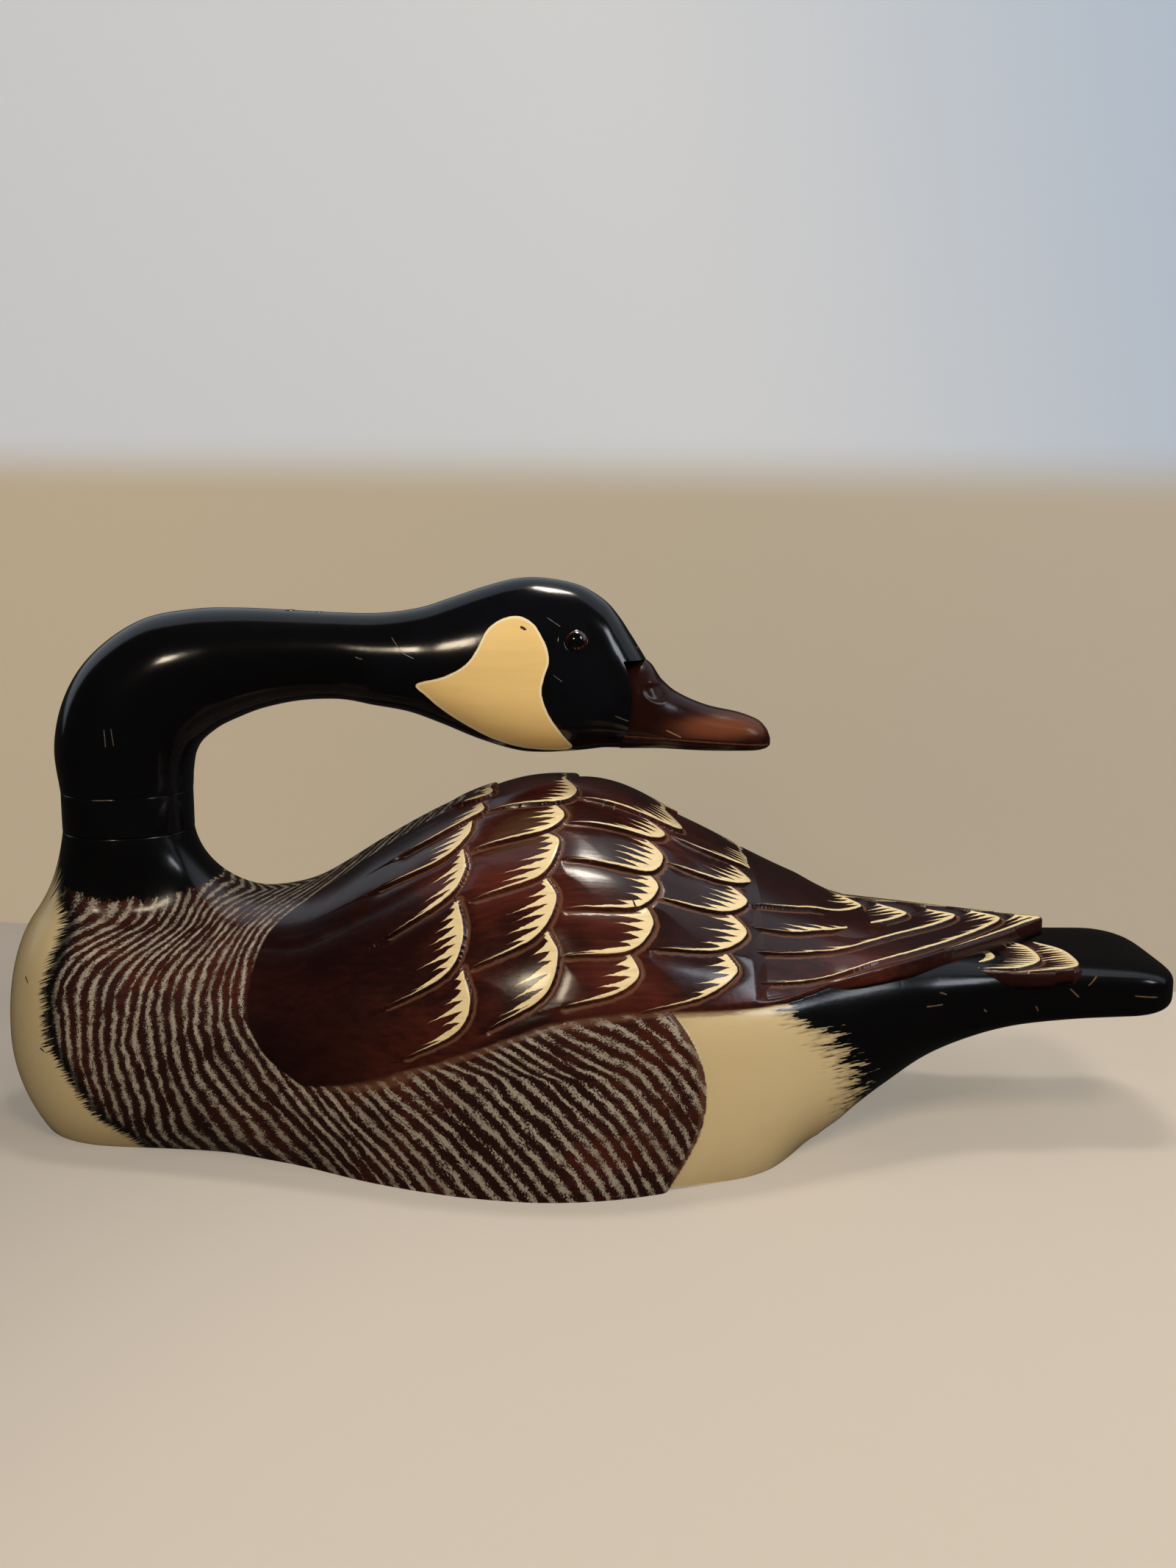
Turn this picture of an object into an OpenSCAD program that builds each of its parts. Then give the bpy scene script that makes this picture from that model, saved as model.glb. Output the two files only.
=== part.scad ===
// Resting goose decoy: a glued-up, carved and painted wooden body with set-in wing tips,
// and a turned-back neck and head that swivels on a loose peg and lifts off.
// Millimetres. +X runs from breast to tail, +Z is up, the goose's left side faces -Y.
// The origin is on the base plane, under the middle of the whole bird.

/* [Body] */
// Length of the body, breast to tail fan
body_length = 603; // [513:1:735]
// Width of the body at its widest
body_width = 253; // [220:1:310]
// Height of the back above the base
back_height = 180; // [155:1:216]
// Thickness of the bottom plank of the glued-up block
bottom_plank = 55; // [46:1:66]
// Thickness of the middle plank
middle_plank = 55; // [46:1:58]

/* [Neck joint] */
// Distance of the neck's axis behind the breast
neck_setback = 64; // [58:0.5:76]
// Radius of the neck at its joint
neck_r = 33.2; // [28:0.1:38]
// Rise of the carved neck stump above the saddle of the back
stump_rise = 33; // [28:1:40]
// Gap between the stump and the neck that turns on it
seat_gap = 0.2; // [0.1:0.05:0.4]
// Thickness of the glued-on neck base disc
disc_t = 20; // [15:1:24]

/* [Neck and head] */
// Clearance between the back and the underside of the head
head_gap = 13; // [8:1:40]
// Reach of the head's front face in front of the neck's axis
head_reach = 270.5; // [240:0.5:300]
// Width of the head at the cheeks
head_width = 59; // [50:1:68]
// Start of the lap joint, measured from the neck's axis
lap_start = 74; // [64:1:84]
// Length of the lap joint
lap_length = 40; // [32:1:48]

/* [Bill] */
// Length of the bill beyond the head's front face
bill_length = 63; // [54:1:76]
// Depth of the bill where it meets the head
bill_depth = 44.5; // [37:0.5:47]
// Width of the bill where it meets the head
bill_width = 39; // [32:1:40]
// Diameter of the bill's tenon
tenon_d = 14; // [10:0.5:18]
// Length of the bill's tenon
tenon_l = 18; // [12:1:22]

/* [Eyes] */
// Diameter of the glass eyes
eye_d = 12; // [10:0.5:15]
// Width of the filler ring around each eye
bed_w = 3.2; // [2:0.1:4]
// Depth of each eye socket
socket_depth = 11; // [9:0.5:13]
// Distance of the eyes behind the head's front face
eye_back = 28; // [24:0.5:34]
// Height of the eyes above the underside of the head
eye_up = 58.5; // [52:0.5:63]

/* [Wing inserts] */
// Length of the crossed tertials behind their seat
tertial_length = 92; // [80:1:108]
// Width of the tertials on one side
tertial_width = 66; // [56:1:72]
// Thickness of the tertials
tertial_t = 9.5; // [7:0.5:12]
// Roof slope of the tertials, in degrees
tertial_slope = 11; // [8:0.5:14]
// Thickness of the primaries
primary_t = 7; // [5:0.5:9]
// Clearance between an insert and its seat
insert_gap = 0.1; // [0.05:0.05:0.2]

/* [Pegs and dowels] */
// Diameter of the peg that the neck turns on
peg_d = 22; // [18:0.5:26]
// Depth of the peg in the body
peg_down = 64; // [50:1:70]
// Height of the peg in the neck
peg_up = 46; // [36:1:50]
// Radial running clearance of the peg
peg_gap = 0.06; // [0.03:0.01:0.1]
// Diameter of the dowels that line up the planks
dowel_d = 12; // [8:0.5:16]
// Length of those dowels
dowel_l = 40; // [30:1:44]
// Diameter of the pins through the lap joint
pin_d = 8; // [6:0.5:10]
// Clearance around glued dowels, pins and tenons
glue_gap = 0.05; // [0.03:0.01:0.1]

/* [Hidden] */

// The body table below is drawn for this size, and is stretched to the size asked for.
drawn = [603, 253, 180];
stretch = [body_length / drawn[0], body_width / drawn[1], back_height / drawn[2]];
far = 1000;
bleed = 1;

// One row a station: place along the body, height of the back, half width,
// height of the widest point, half width of the base, squareness of the section.
body_rows = [
    [-301.5, 150, 61, 50, 45, 2.1],
    [-270, 135, 66, 50, 52, 2.1],
    [-236, 121, 72, 52, 55, 2.1],
    [-180, 119, 84, 55, 62, 2.05],
    [-155, 121, 90, 56, 72, 2],
    [-137, 127, 95, 57, 80, 2],
    [-105, 146.5, 104.5, 58, 97.5, 2],
    [-78, 161.5, 112.5, 59, 109, 2],
    [-50, 174, 120, 60, 117.5, 2],
    [-17, 180, 125.5, 60, 122, 2],
    [18, 175, 125.5, 61, 118, 2],
    [55, 155.5, 117.5, 62, 104, 2.05],
    [90, 136.5, 104.5, 64, 84, 2.1],
    [122, 121.5, 88, 67, 34, 2.2],
    [150, 112, 74, 71, 0, 2.4],
    [175, 101.5, 62, 74, 0, 2.7],
    [205, 94, 52.5, 76, 0, 3.3],
    [240, 91, 48.5, 77, 0, 4],
    [275, 89.5, 50.5, 77, 0, 4.5],
    [301.5, 88, 52, 77, 0, 4.5]];
// Underside of the rump and tail: place along the body, height.
rump_rows = [[118, 0], [128, 4], [137, 11], [150, 21.5], [170, 36.5], [190, 46.5], [215, 54.5],
    [245, 59], [275, 62], [301.5, 63.5]];
breast_start = -236;
fan_start = 276;

// Cubic curve through rows of [place, values ...], flat beyond its ends
function span(rows, x, i = 0) = i >= len(rows) - 2 || x < rows[i + 1][0] ? i : span(rows, x, i + 1);
function slope(rows, i, k) =
    let(a = max(i - 1, 0), b = min(i + 1, len(rows) - 1))
    (rows[b][k] - rows[a][k]) / (rows[b][0] - rows[a][0]);
function curve(rows, x, k) =
    let(i = span(rows, x), h = rows[i + 1][0] - rows[i][0],
        t = min(max((x - rows[i][0]) / h, 0), 1))
    (1 + 2 * t) * pow(1 - t, 2) * rows[i][k] + t * pow(1 - t, 2) * h * slope(rows, i, k)
    + t * t * (3 - 2 * t) * rows[i + 1][k] + t * t * (t - 1) * h * slope(rows, i + 1, k);

// Half of one body section in the drawn size, from the middle of the base up to the crest
section_steps = 7;
// Keeps the two lowest points of a section apart where the underside is round
keel_turn = 0.998;
function half_section(x) =
    let(c = max(0, (breast_start - x) / (breast_start - body_rows[0][0]),
            (x - fan_start) / (-body_rows[0][0] - fan_start)),
        live = 1 - c * c, n = curve(body_rows, x, 5), w = curve(body_rows, x, 2),
        top = curve(body_rows, x, 1), mid = curve(body_rows, x, 3),
        base = min(max(curve(body_rows, x, 4), 0), 0.985 * w),
        low = x < rump_rows[0][0] ? 0 : max(curve(rump_rows, x, 1), 0),
        fade = 1 - pow(base / w, n), turn = asin(sqrt(min(keel_turn, fade / live))))
    concat(
        [[0, mid - (mid - low) * min(1, pow(live / fade, 1 / n))]],
        [for (i = [0:section_steps - 1]) let(a = turn * (1 - i / section_steps))
            [w * pow(live * pow(cos(a), 2), 1 / n),
                mid - (mid - low) * pow(live * pow(sin(a), 2) / fade, 1 / n)]],
        [for (i = [0:section_steps]) let(a = 90 * i / section_steps)
            [w * pow(live * pow(cos(a), 2), 1 / n),
                mid + (top - mid) * pow(live * pow(sin(a), 2), 1 / n)]]);
function body_ring(x) =
    let(h = half_section(x), n = len(h))
    concat([for (p = h) [x * stretch[0], p[0] * stretch[1], p[1] * stretch[2]]],
        [for (i = [n - 2:-1:1]) [x * stretch[0], -h[i][0] * stretch[1], h[i][1] * stretch[2]]]);

// A closed skin over rings of equally many points
module skin(rings) {
    n = len(rings[0]);
    m = len(rings);
    polyhedron(
        points = [for (r = rings) for (p = r) p],
        faces = concat([[for (i = [0:n - 1]) i]],
            [for (j = [0:m - 2]) for (i = [0:n - 1]) each
                let(a = j * n + i, b = j * n + (i + 1) % n)
                [[a, a + n, b], [b, a + n, b + n]]],
            [[for (i = [n - 1:-1:0]) (m - 1) * n + i]]),
        convexity = 6);
}

nose_places = [for (c = [0.99, 0.94, 0.85, 0.72, 0.55, 0.35])
    breast_start + c * (body_rows[0][0] - breast_start)];
fan_places = [for (c = [0.4, 0.7, 0.9, 0.99]) fan_start - c * (body_rows[0][0] + fan_start)];
body_places = concat(nose_places, [for (x = [breast_start:18.2:fan_start]) x], fan_places);

saddle = 120 * stretch[2];
crease = saddle + stump_rise;
neck_x = neck_setback - body_length / 2;
upper_line = bottom_plank + middle_plank;

module body_block() {
    skin([for (x = body_places) body_ring(x)]);
}

// The carved stump, widening from the joint into the breast and the back. One row a level:
// drop below the joint, spread to the front, spread to the back, spread to the side.
stump_rows = [
    [0, 0, 0, 0],
    [5, 1.4, 2.4, 1.8],
    [11, 4, 6.6, 5.4],
    [21, 9, 13.6, 12],
    [28, 12.4, 21, 18],
    [34, 15, 31, 24],
    [42, 17.5, 46, 29],
    [56, 19.5, 62, 31],
    [70, 16, 62, 26]];
stump_steps = 28;
function stump_ring(r) =
    [for (i = [0:stump_steps - 1]) let(a = 360 * i / stump_steps,
            reach = neck_r + (cos(a) > 0 ? r[2] : r[1]))
        [neck_x + reach * cos(a), (neck_r + r[3]) * sin(a), crease - r[0]]];
module stump() {
    skin([for (i = [len(stump_rows) - 1:-1:0]) stump_ring(stump_rows[i])]);
}

module slab(low, high) {
    translate([-far / 2, -far / 2, low]) cube([far, far, high - low]);
}

module peg_hole() {
    translate([neck_x, 0, crease - peg_down]) cylinder(r = peg_d / 2 + peg_gap, h = far, $fn = 64);
}

// Alignment dowels stand in two pairs across each glue line
lower_dowel_places = [[-0.27 * body_length, 0.15 * body_width], [0.12 * body_length, 0.26 * body_width]];
upper_dowel_places = [[-0.14 * body_length, 0.16 * body_width], [0.09 * body_length, 0.16 * body_width]];
module dowels(places, line, grow = 0) {
    for (p = places) for (side = [-1, 1])
        translate([p[0], side * p[1], line - dowel_l / 2 - grow])
            cylinder(r = dowel_d / 2 + grow, h = dowel_l + 2 * grow, $fn = 32);
}

// Wing inserts lie on flat seats cut in the back and the tail
tertial_back = 241 * stretch[0];
tertial_top = 114 * stretch[2];
tertial_pitch = 5.6;
tertial_outline = [[0, 0], [0, 1], [0.24, 0.98], [0.5, 0.76], [0.78, 0.42], [1, 0.06], [1, 0]];
module tertial_slab(low, high, grow = 0) {
    translate([tertial_back - tertial_length, 0, tertial_top])
        rotate([tertial_slope, tertial_pitch, 0])
            translate([0, 0, low]) linear_extrude(high - low)
                polygon([for (p = tertial_outline)
                    [p[0] * tertial_length + (p[0] > 0 ? grow : -grow),
                        -p[1] * tertial_width - (p[1] > 0 ? grow : 0)]]);
}
module both_sides() {
    children();
    mirror([0, 1, 0]) children();
}
primary_top = 94 * stretch[2];
primary_outline = [[150, -20], [150, -54], [185, -53], [208, -50], [232, -50.5], [249, -47], [242, -40],
    [225, -36], [222, -30], [207, -24], [190, -20]];
module primary_slab(low, high, grow = 0) {
    translate([0, 0, low]) linear_extrude(high - low)
        polygon([for (p = primary_outline)
            [p[0] * stretch[0] + (p[0] > 200 ? grow : 0),
                p[1] * stretch[1] + (p[1] < -45 ? -grow : grow)]]);
}
module insert_cuts() {
    both_sides() tertial_slab(-tertial_t - insert_gap, far, insert_gap);
    both_sides() primary_slab(primary_top - primary_t - insert_gap, primary_top + 20, insert_gap);
}

module lower_body() {
    color("saddlebrown") difference() {
        intersection() {
            body_block();
            slab(-bleed, bottom_plank);
        }
        dowels(lower_dowel_places, bottom_plank, glue_gap);
    }
}

module middle_body() {
    color("sienna") difference() {
        intersection() {
            body_block();
            slab(bottom_plank, upper_line);
        }
        dowels(lower_dowel_places, bottom_plank, glue_gap);
        dowels(upper_dowel_places, upper_line, glue_gap);
        peg_hole();
        insert_cuts();
    }
}

module upper_body() {
    color([0.35, 0.15, 0.1]) difference() {
        intersection() {
            union() {
                body_block();
                stump();
            }
            slab(upper_line, far);
        }
        dowels(upper_dowel_places, upper_line, glue_gap);
        peg_hole();
        insert_cuts();
    }
}

module lower_dowels() {
    color("burlywood") dowels(lower_dowel_places, bottom_plank);
}

module upper_dowels() {
    color("burlywood") dowels(upper_dowel_places, upper_line);
}

module tertials() {
    color([0.45, 0.22, 0.15]) intersection() {
        tertial_slab(-tertial_t, 0);
        translate([0, -far, 0]) cube([far, far - insert_gap, far]);
    }
}
module left_tertials() { tertials(); }
module right_tertials() { mirror([0, 1, 0]) tertials(); }

module primaries() {
    color([0.5, 0.25, 0.18]) difference() {
        primary_slab(primary_top - primary_t, primary_top);
        tertial_slab(-tertial_t - insert_gap, far, insert_gap);
    }
}
module left_primaries() { primaries(); }
module right_primaries() { mirror([0, 1, 0]) primaries(); }

module neck_peg() {
    color("tan") translate([neck_x, 0, crease - peg_down + 1])
        cylinder(d = peg_d, h = peg_down + peg_up - 2, $fn = 64);
}

// One row a ring of the neck and head: distance in front of the neck's axis, height above the
// underside of the head, tilt of the path, half height, half width, drop of the widest point, squareness
head_drawn = [270.5, 59];
neck_rows = [
    [-0.5, -2.5, 78, 35.4, 33.5, 0, 2],
    [3.7, 14.5, 64, 35.8, 33, 0, 2],
    [13.2, 28.5, 50, 35.2, 32, 0, 2],
    [30, 40.3, 34, 33.4, 30.5, 0, 2],
    [49.5, 46, 23, 29.8, 28, 0, 2],
    [67.5, 48.7, 16, 26.4, 25, 0, 2],
    [89.5, 49.8, 7, 23.3, 22.6, 0, 2],
    [112.5, 49.4, 0, 22.2, 21.5, 0, 2],
    [131.5, 47.8, -5, 23.7, 22.5, 1, 2],
    [150.5, 47.4, -6, 26.8, 24, 3, 2],
    [167, 46.8, -4, 32.3, 26.5, 6, 2.05],
    [184.5, 45.8, -2, 38.8, 28.5, 9, 2.1],
    [202.3, 45, 0, 43.8, 29.5, 11, 2.1],
    [217, 44.6, 0, 44.6, 29.3, 12, 2.1],
    [234.5, 43.3, 0, 42.4, 27.8, 12, 2.1],
    [247, 40.5, 0, 38.2, 25.8, 11, 2.15],
    [254.5, 36.6, 0, 34.3, 24.4, 10, 2.2],
    [262, 31, 0, 28.7, 22.8, 8, 2.2],
    [270.5, 24.2, 0, 21.7, 20.5, 5, 2.2]];
head_floor = back_height + head_gap;
neck_start = crease + seat_gap + disc_t;
ring_steps = 24;
function neck_row(t) =
    let(rows = [for (i = [0:len(neck_rows) - 1]) concat([i], neck_rows[i])])
    [for (k = [1:7]) curve(rows, t, k)];
function neck_ring(t) =
    let(r = neck_row(t), n = r[6])
    [for (i = [0:ring_steps - 1])
        let(a = 360 * i / ring_steps,
            y = sign(cos(a)) * pow(abs(cos(a)), 2 / n) * r[4] * (t > 7 ? head_width / head_drawn[1] : 1),
            v = sign(sin(a)) * pow(abs(sin(a)), 2 / n) * (r[3] + sign(sin(a)) * r[5]) - r[5])
        [neck_x + r[0] * head_reach / head_drawn[0] - v * sin(r[2]), y,
            head_floor + r[1] + v * cos(r[2])]];
function start_ring(z) =
    [for (i = [0:ring_steps - 1]) let(a = 360 * i / ring_steps)
        [neck_x - neck_r * sin(a), neck_r * cos(a), z]];

module whole_neck() {
    skin(concat([start_ring(neck_start), start_ring(neck_start + 3)],
        [for (t = [0:0.5:len(neck_rows) - 1]) neck_ring(t)]));
}

lap_height = 49.5;
lap_z = head_floor + lap_height;
lap_x = neck_x + lap_start;
module lap_box(grow) {
    translate([lap_x + lap_length + grow, -far / 2, -bleed]) cube([far, far, far]);
    translate([lap_x + grow, -far / 2, -bleed]) cube([far, far, lap_z - grow + bleed]);
}
pin_places = [for (f = [0.32, 0.68]) lap_x + f * lap_length];
pin_depth = 34;
pin_rise = 21;
pin_top = lap_z + pin_rise;
module pins(grow = 0) {
    for (x = pin_places) translate([x, 0, pin_top - pin_depth - grow])
        cylinder(r = pin_d / 2 + grow, h = pin_depth + (grow > 0 ? far : 0), $fn = 32);
}

module neck_base() {
    color([0.08, 0.08, 0.08]) translate([neck_x, 0, crease + seat_gap]) difference() {
        cylinder(r = neck_r, h = disc_t, $fn = 72);
        translate([0, 0, -bleed]) cylinder(r = peg_d / 2 + peg_gap, h = disc_t + 2 * bleed, $fn = 64);
    }
}

module neck() {
    color([0.05, 0.05, 0.05]) difference() {
        whole_neck();
        lap_box(0);
        translate([neck_x, 0, 0]) cylinder(r = peg_d / 2 + peg_gap, h = crease + peg_up, $fn = 64);
        pins(glue_gap);
    }
}

// The head's front face, and the brow that stands over the bill
face_x = neck_x + head_reach - 9;
brow_lift = 3.8;
brow_z = head_floor + bill_depth + brow_lift;
module head() {
    color([0.1, 0.1, 0.1]) difference() {
        intersection() {
            whole_neck();
            lap_box(glue_gap);
        }
        translate([face_x, -far / 2, 0]) cube([far, far, brow_z]);
        translate([face_x - tenon_l - glue_gap, 0, head_floor + bill_depth / 2]) rotate([0, 90, 0])
            cylinder(r = tenon_d / 2 + glue_gap, h = tenon_l + 2, $fn = 48);
        pins(glue_gap);
        both_sides() eye_socket();
    }
}

module neck_pins() {
    color("peru") pins();
}

// One row a section of the bill: share of its length, share of its depth at the top, lift of the
// underside, share of its half width
bill_rows = [
    [0, 1.05, 2, 1],
    [0.12, 1.03, 2, 0.98],
    [0.22, 0.8, 2, 0.93],
    [0.33, 0.65, 1.5, 0.87],
    [0.54, 0.5, 0.8, 0.82],
    [0.78, 0.41, 0.7, 0.78],
    [0.9, 0.33, 0.9, 0.64],
    [0.97, 0.22, 1.8, 0.38],
    [1, 0.12, 3.4, 0.08]];
bill_full = bill_length + 9;
function bill_ring(s) =
    let(top = curve(bill_rows, s, 1) * bill_depth + 2, low = curve(bill_rows, s, 2),
        w = curve(bill_rows, s, 3) * bill_width / 2, mid = low + (top - low) * 0.34, n = 2.3)
    [for (i = [0:ring_steps - 1])
        let(a = 360 * i / ring_steps,
            y = sign(cos(a)) * pow(abs(cos(a)), 2 / n) * w,
            v = pow(abs(sin(a)), 2 / n) * (sin(a) > 0 ? top - mid : low - mid))
        [face_x + glue_gap + s * bill_full, y,
            head_floor + mid + min(v, brow_z - glue_gap - head_floor - mid)]];
bill_places = [0, 0.06, 0.12, 0.17, 0.22, 0.28, 0.35, 0.45, 0.56, 0.68, 0.78, 0.86, 0.92, 0.96, 0.985, 1];
module bill() {
    color([0.35, 0.18, 0.12]) union() {
        difference() {
            skin([for (s = bill_places) bill_ring(s)]);
            translate([face_x - bleed, -far / 2, brow_z - glue_gap]) cube([far, far, far]);
        }
        translate([face_x - tenon_l, 0, head_floor + bill_depth / 2]) rotate([0, 90, 0])
            cylinder(d = tenon_d, h = tenon_l + 3, $fn = 48);
    }
}

// Glass eyes sit in filler, in round sockets drilled straight into the head
eye_x = face_x - eye_back;
eye_z = head_floor + eye_up;
socket_r = eye_d / 2 + bed_w;
eye_skin = 0.405 * head_width;
module eye_socket() {
    translate([eye_x, -eye_skin + socket_depth, eye_z]) rotate([90, 0, 0])
        cylinder(r = socket_r + glue_gap, h = far, $fn = 48);
}
module eye_bed() {
    translate([eye_x, -eye_skin + socket_depth - glue_gap, eye_z]) rotate([90, 0, 0]) difference() {
        cylinder(r = socket_r, h = socket_depth + 0.6, $fn = 48);
        translate([0, 0, socket_depth - 2.6]) sphere(d = eye_d + 2 * glue_gap, $fn = 48);
    }
}
module eye() {
    translate([eye_x, -eye_skin + 2.6 - glue_gap, eye_z]) sphere(d = eye_d, $fn = 48);
}
module left_eye() { color([0.12, 0.05, 0.02]) eye(); }
module right_eye() { color([0.12, 0.05, 0.02]) mirror([0, 1, 0]) eye(); }
module left_eye_bed() { color([0.15, 0.12, 0.1]) eye_bed(); }
module right_eye_bed() { color([0.15, 0.12, 0.1]) mirror([0, 1, 0]) eye_bed(); }

lower_body();
middle_body();
upper_body();
lower_dowels();
upper_dowels();
left_tertials();
right_tertials();
left_primaries();
right_primaries();
neck_peg();
neck_base();
neck();
head();
neck_pins();
bill();
left_eye();
right_eye();
left_eye_bed();
right_eye_bed();
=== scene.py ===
import math

import bpy
import numpy as np
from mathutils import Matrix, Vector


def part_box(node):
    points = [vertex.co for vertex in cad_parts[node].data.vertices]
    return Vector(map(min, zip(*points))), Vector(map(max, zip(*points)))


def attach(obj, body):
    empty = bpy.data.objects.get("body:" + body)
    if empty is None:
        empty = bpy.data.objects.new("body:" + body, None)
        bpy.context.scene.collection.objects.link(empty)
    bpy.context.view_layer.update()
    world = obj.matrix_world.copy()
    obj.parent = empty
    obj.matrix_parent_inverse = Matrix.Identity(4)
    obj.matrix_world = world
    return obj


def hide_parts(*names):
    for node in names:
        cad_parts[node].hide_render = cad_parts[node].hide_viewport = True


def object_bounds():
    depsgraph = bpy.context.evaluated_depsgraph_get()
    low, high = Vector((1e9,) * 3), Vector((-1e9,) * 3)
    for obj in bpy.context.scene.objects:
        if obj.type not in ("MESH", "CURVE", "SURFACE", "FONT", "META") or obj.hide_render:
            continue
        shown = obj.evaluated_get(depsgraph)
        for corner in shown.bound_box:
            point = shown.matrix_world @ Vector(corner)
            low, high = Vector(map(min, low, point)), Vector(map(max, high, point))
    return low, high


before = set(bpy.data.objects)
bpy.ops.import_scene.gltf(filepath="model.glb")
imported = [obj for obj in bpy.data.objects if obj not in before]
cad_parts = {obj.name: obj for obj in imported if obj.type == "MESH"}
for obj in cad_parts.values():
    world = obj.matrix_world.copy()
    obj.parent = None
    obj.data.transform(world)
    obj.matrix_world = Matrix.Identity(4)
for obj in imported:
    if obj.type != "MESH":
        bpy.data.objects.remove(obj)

cad_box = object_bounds()
MM = 0.001

# ---------------------------------------------------------------- stage
# A pale table against a pale wall, two warm lamps in front, one overhead and a cool one from the right.
# Light on the wall is partly painted, as a cool, light band along its top, and shade on the table is
# painted as darkening towards the left. The camera looks square on to the bird's left side.
wall_place, wall_turn = (-0.237, 0.35), math.radians(-12.4)


class Wire:
    """A socket that takes part in sums, and makes the nodes that work them out."""
    tree = None

    def __init__(self, socket):
        self.socket = socket

    @classmethod
    def node(cls, kind, settings=None, inputs=None, out=0):
        made = cls.tree.nodes.new(kind)
        for key, value in (settings or {}).items():
            setattr(made, key, value)
        for key, value in (inputs or {}).items():
            if isinstance(value, Wire):
                cls.tree.links.new(value.socket, made.inputs[key])
            else:
                made.inputs[key].default_value = value
        return cls(made.outputs[out])

    def math(self, how, *others):
        return Wire.node("ShaderNodeMath", {"operation": how}, dict(enumerate((self, *others))))

    def __add__(self, other):
        return self.math("ADD", other)

    def __sub__(self, other):
        return self.math("SUBTRACT", other)

    def __mul__(self, other):
        return self.math("MULTIPLY", other)

    def __truediv__(self, other):
        return self.math("DIVIDE", other)

    def __rsub__(self, other):
        return Wire.node("ShaderNodeMath", {"operation": "SUBTRACT"}, {0: other, 1: self})

    __radd__ = __add__
    __rmul__ = __mul__

    def step(self, low, high):
        return Wire.node("ShaderNodeMapRange", {"interpolation_type": "SMOOTHSTEP"},
                         {"Value": self, "From Min": low, "From Max": high})

    def either(self, other):
        return self.math("MAXIMUM", other)

    def both(self, other):
        return self.math("MINIMUM", other)


def guide(name):
    return Wire.node("ShaderNodeAttribute", {"attribute_name": name}, out="Fac")


def place():
    return Wire.node("ShaderNodeTexCoord", out="Object")


def axis(name):
    """One coordinate of the point, in millimetres."""
    return Wire.node("ShaderNodeSeparateXYZ", {}, {0: place()}, out=name) * 1000.0


def packed(x, y, z=0.0):
    return Wire.node("ShaderNodeCombineXYZ", {}, {0: x, 1: y, 2: z})


def stretched(scale, turn=(0, 0, 0)):
    return Wire.node("ShaderNodeMapping", {}, {"Vector": place(), "Scale": scale, "Rotation": turn})


def noise(vector, scale, detail=2.0, rough=0.5, centred=True):
    made = Wire.node("ShaderNodeTexNoise", {}, {"Vector": vector, "Scale": scale, "Detail": detail,
                                               "Roughness": rough}, out="Fac")
    return made - 0.5 if centred else made


def chance(value):
    """A steady random number for each whole number."""
    return Wire.node("ShaderNodeTexWhiteNoise", {"noise_dimensions": "1D"}, {"W": value}, out="Value")


def mix(share, first, second):
    return Wire.node("ShaderNodeMix", {"data_type": "RGBA"},
                     {0: share, 6: first if isinstance(first, Wire) else (*first, 1),
                      7: second if isinstance(second, Wire) else (*second, 1)}, out=2)


def marks(lines, x, z, width):
    """Knocks and scratches on the bird's left side: straight strokes (x, z, x, z) in millimetres."""
    worn = None
    for x0, z0, x1, z1 in lines:
        dx, dz = x1 - x0, z1 - z0
        size = dx * dx + dz * dz
        ex, ez = x - x0, z - z0
        q = ((ex * dx + ez * dz) / size).both(1.0).either(0.0)
        away = ((ex - q * dx).math("POWER", 2.0) + (ez - q * dz).math("POWER", 2.0)).math("SQRT")
        worn = away if worn is None else worn.both(away)
    ragged = worn + noise(place(), 700.0, 2.0) * width * 1.6
    return (1 - ragged.step(width * 0.6, width)) * (1 - axis("Y").step(-4.0, 0.0))


def new_material(name):
    material = bpy.data.materials.new(name)
    material.use_nodes = True
    Wire.tree = material.node_tree
    return material


def finish_material(material, colour, roughness, bump=None, bump_mm=0.3, **constants):
    shader = material.node_tree.nodes["Principled BSDF"]
    for key, value in (("Base Color", colour), ("Roughness", roughness)):
        if isinstance(value, Wire):
            material.node_tree.links.new(value.socket, shader.inputs[key])
        else:
            shader.inputs[key].default_value = (*value, 1) if key == "Base Color" else value
    if bump is not None:
        made = Wire.node("ShaderNodeBump", {}, {"Height": bump, "Distance": bump_mm * MM, "Strength": 1.0})
        material.node_tree.links.new(made.socket, shader.inputs["Normal"])
    for key, value in constants.items():
        shader.inputs[key.replace("_", " ")].default_value = value
    return material


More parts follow.
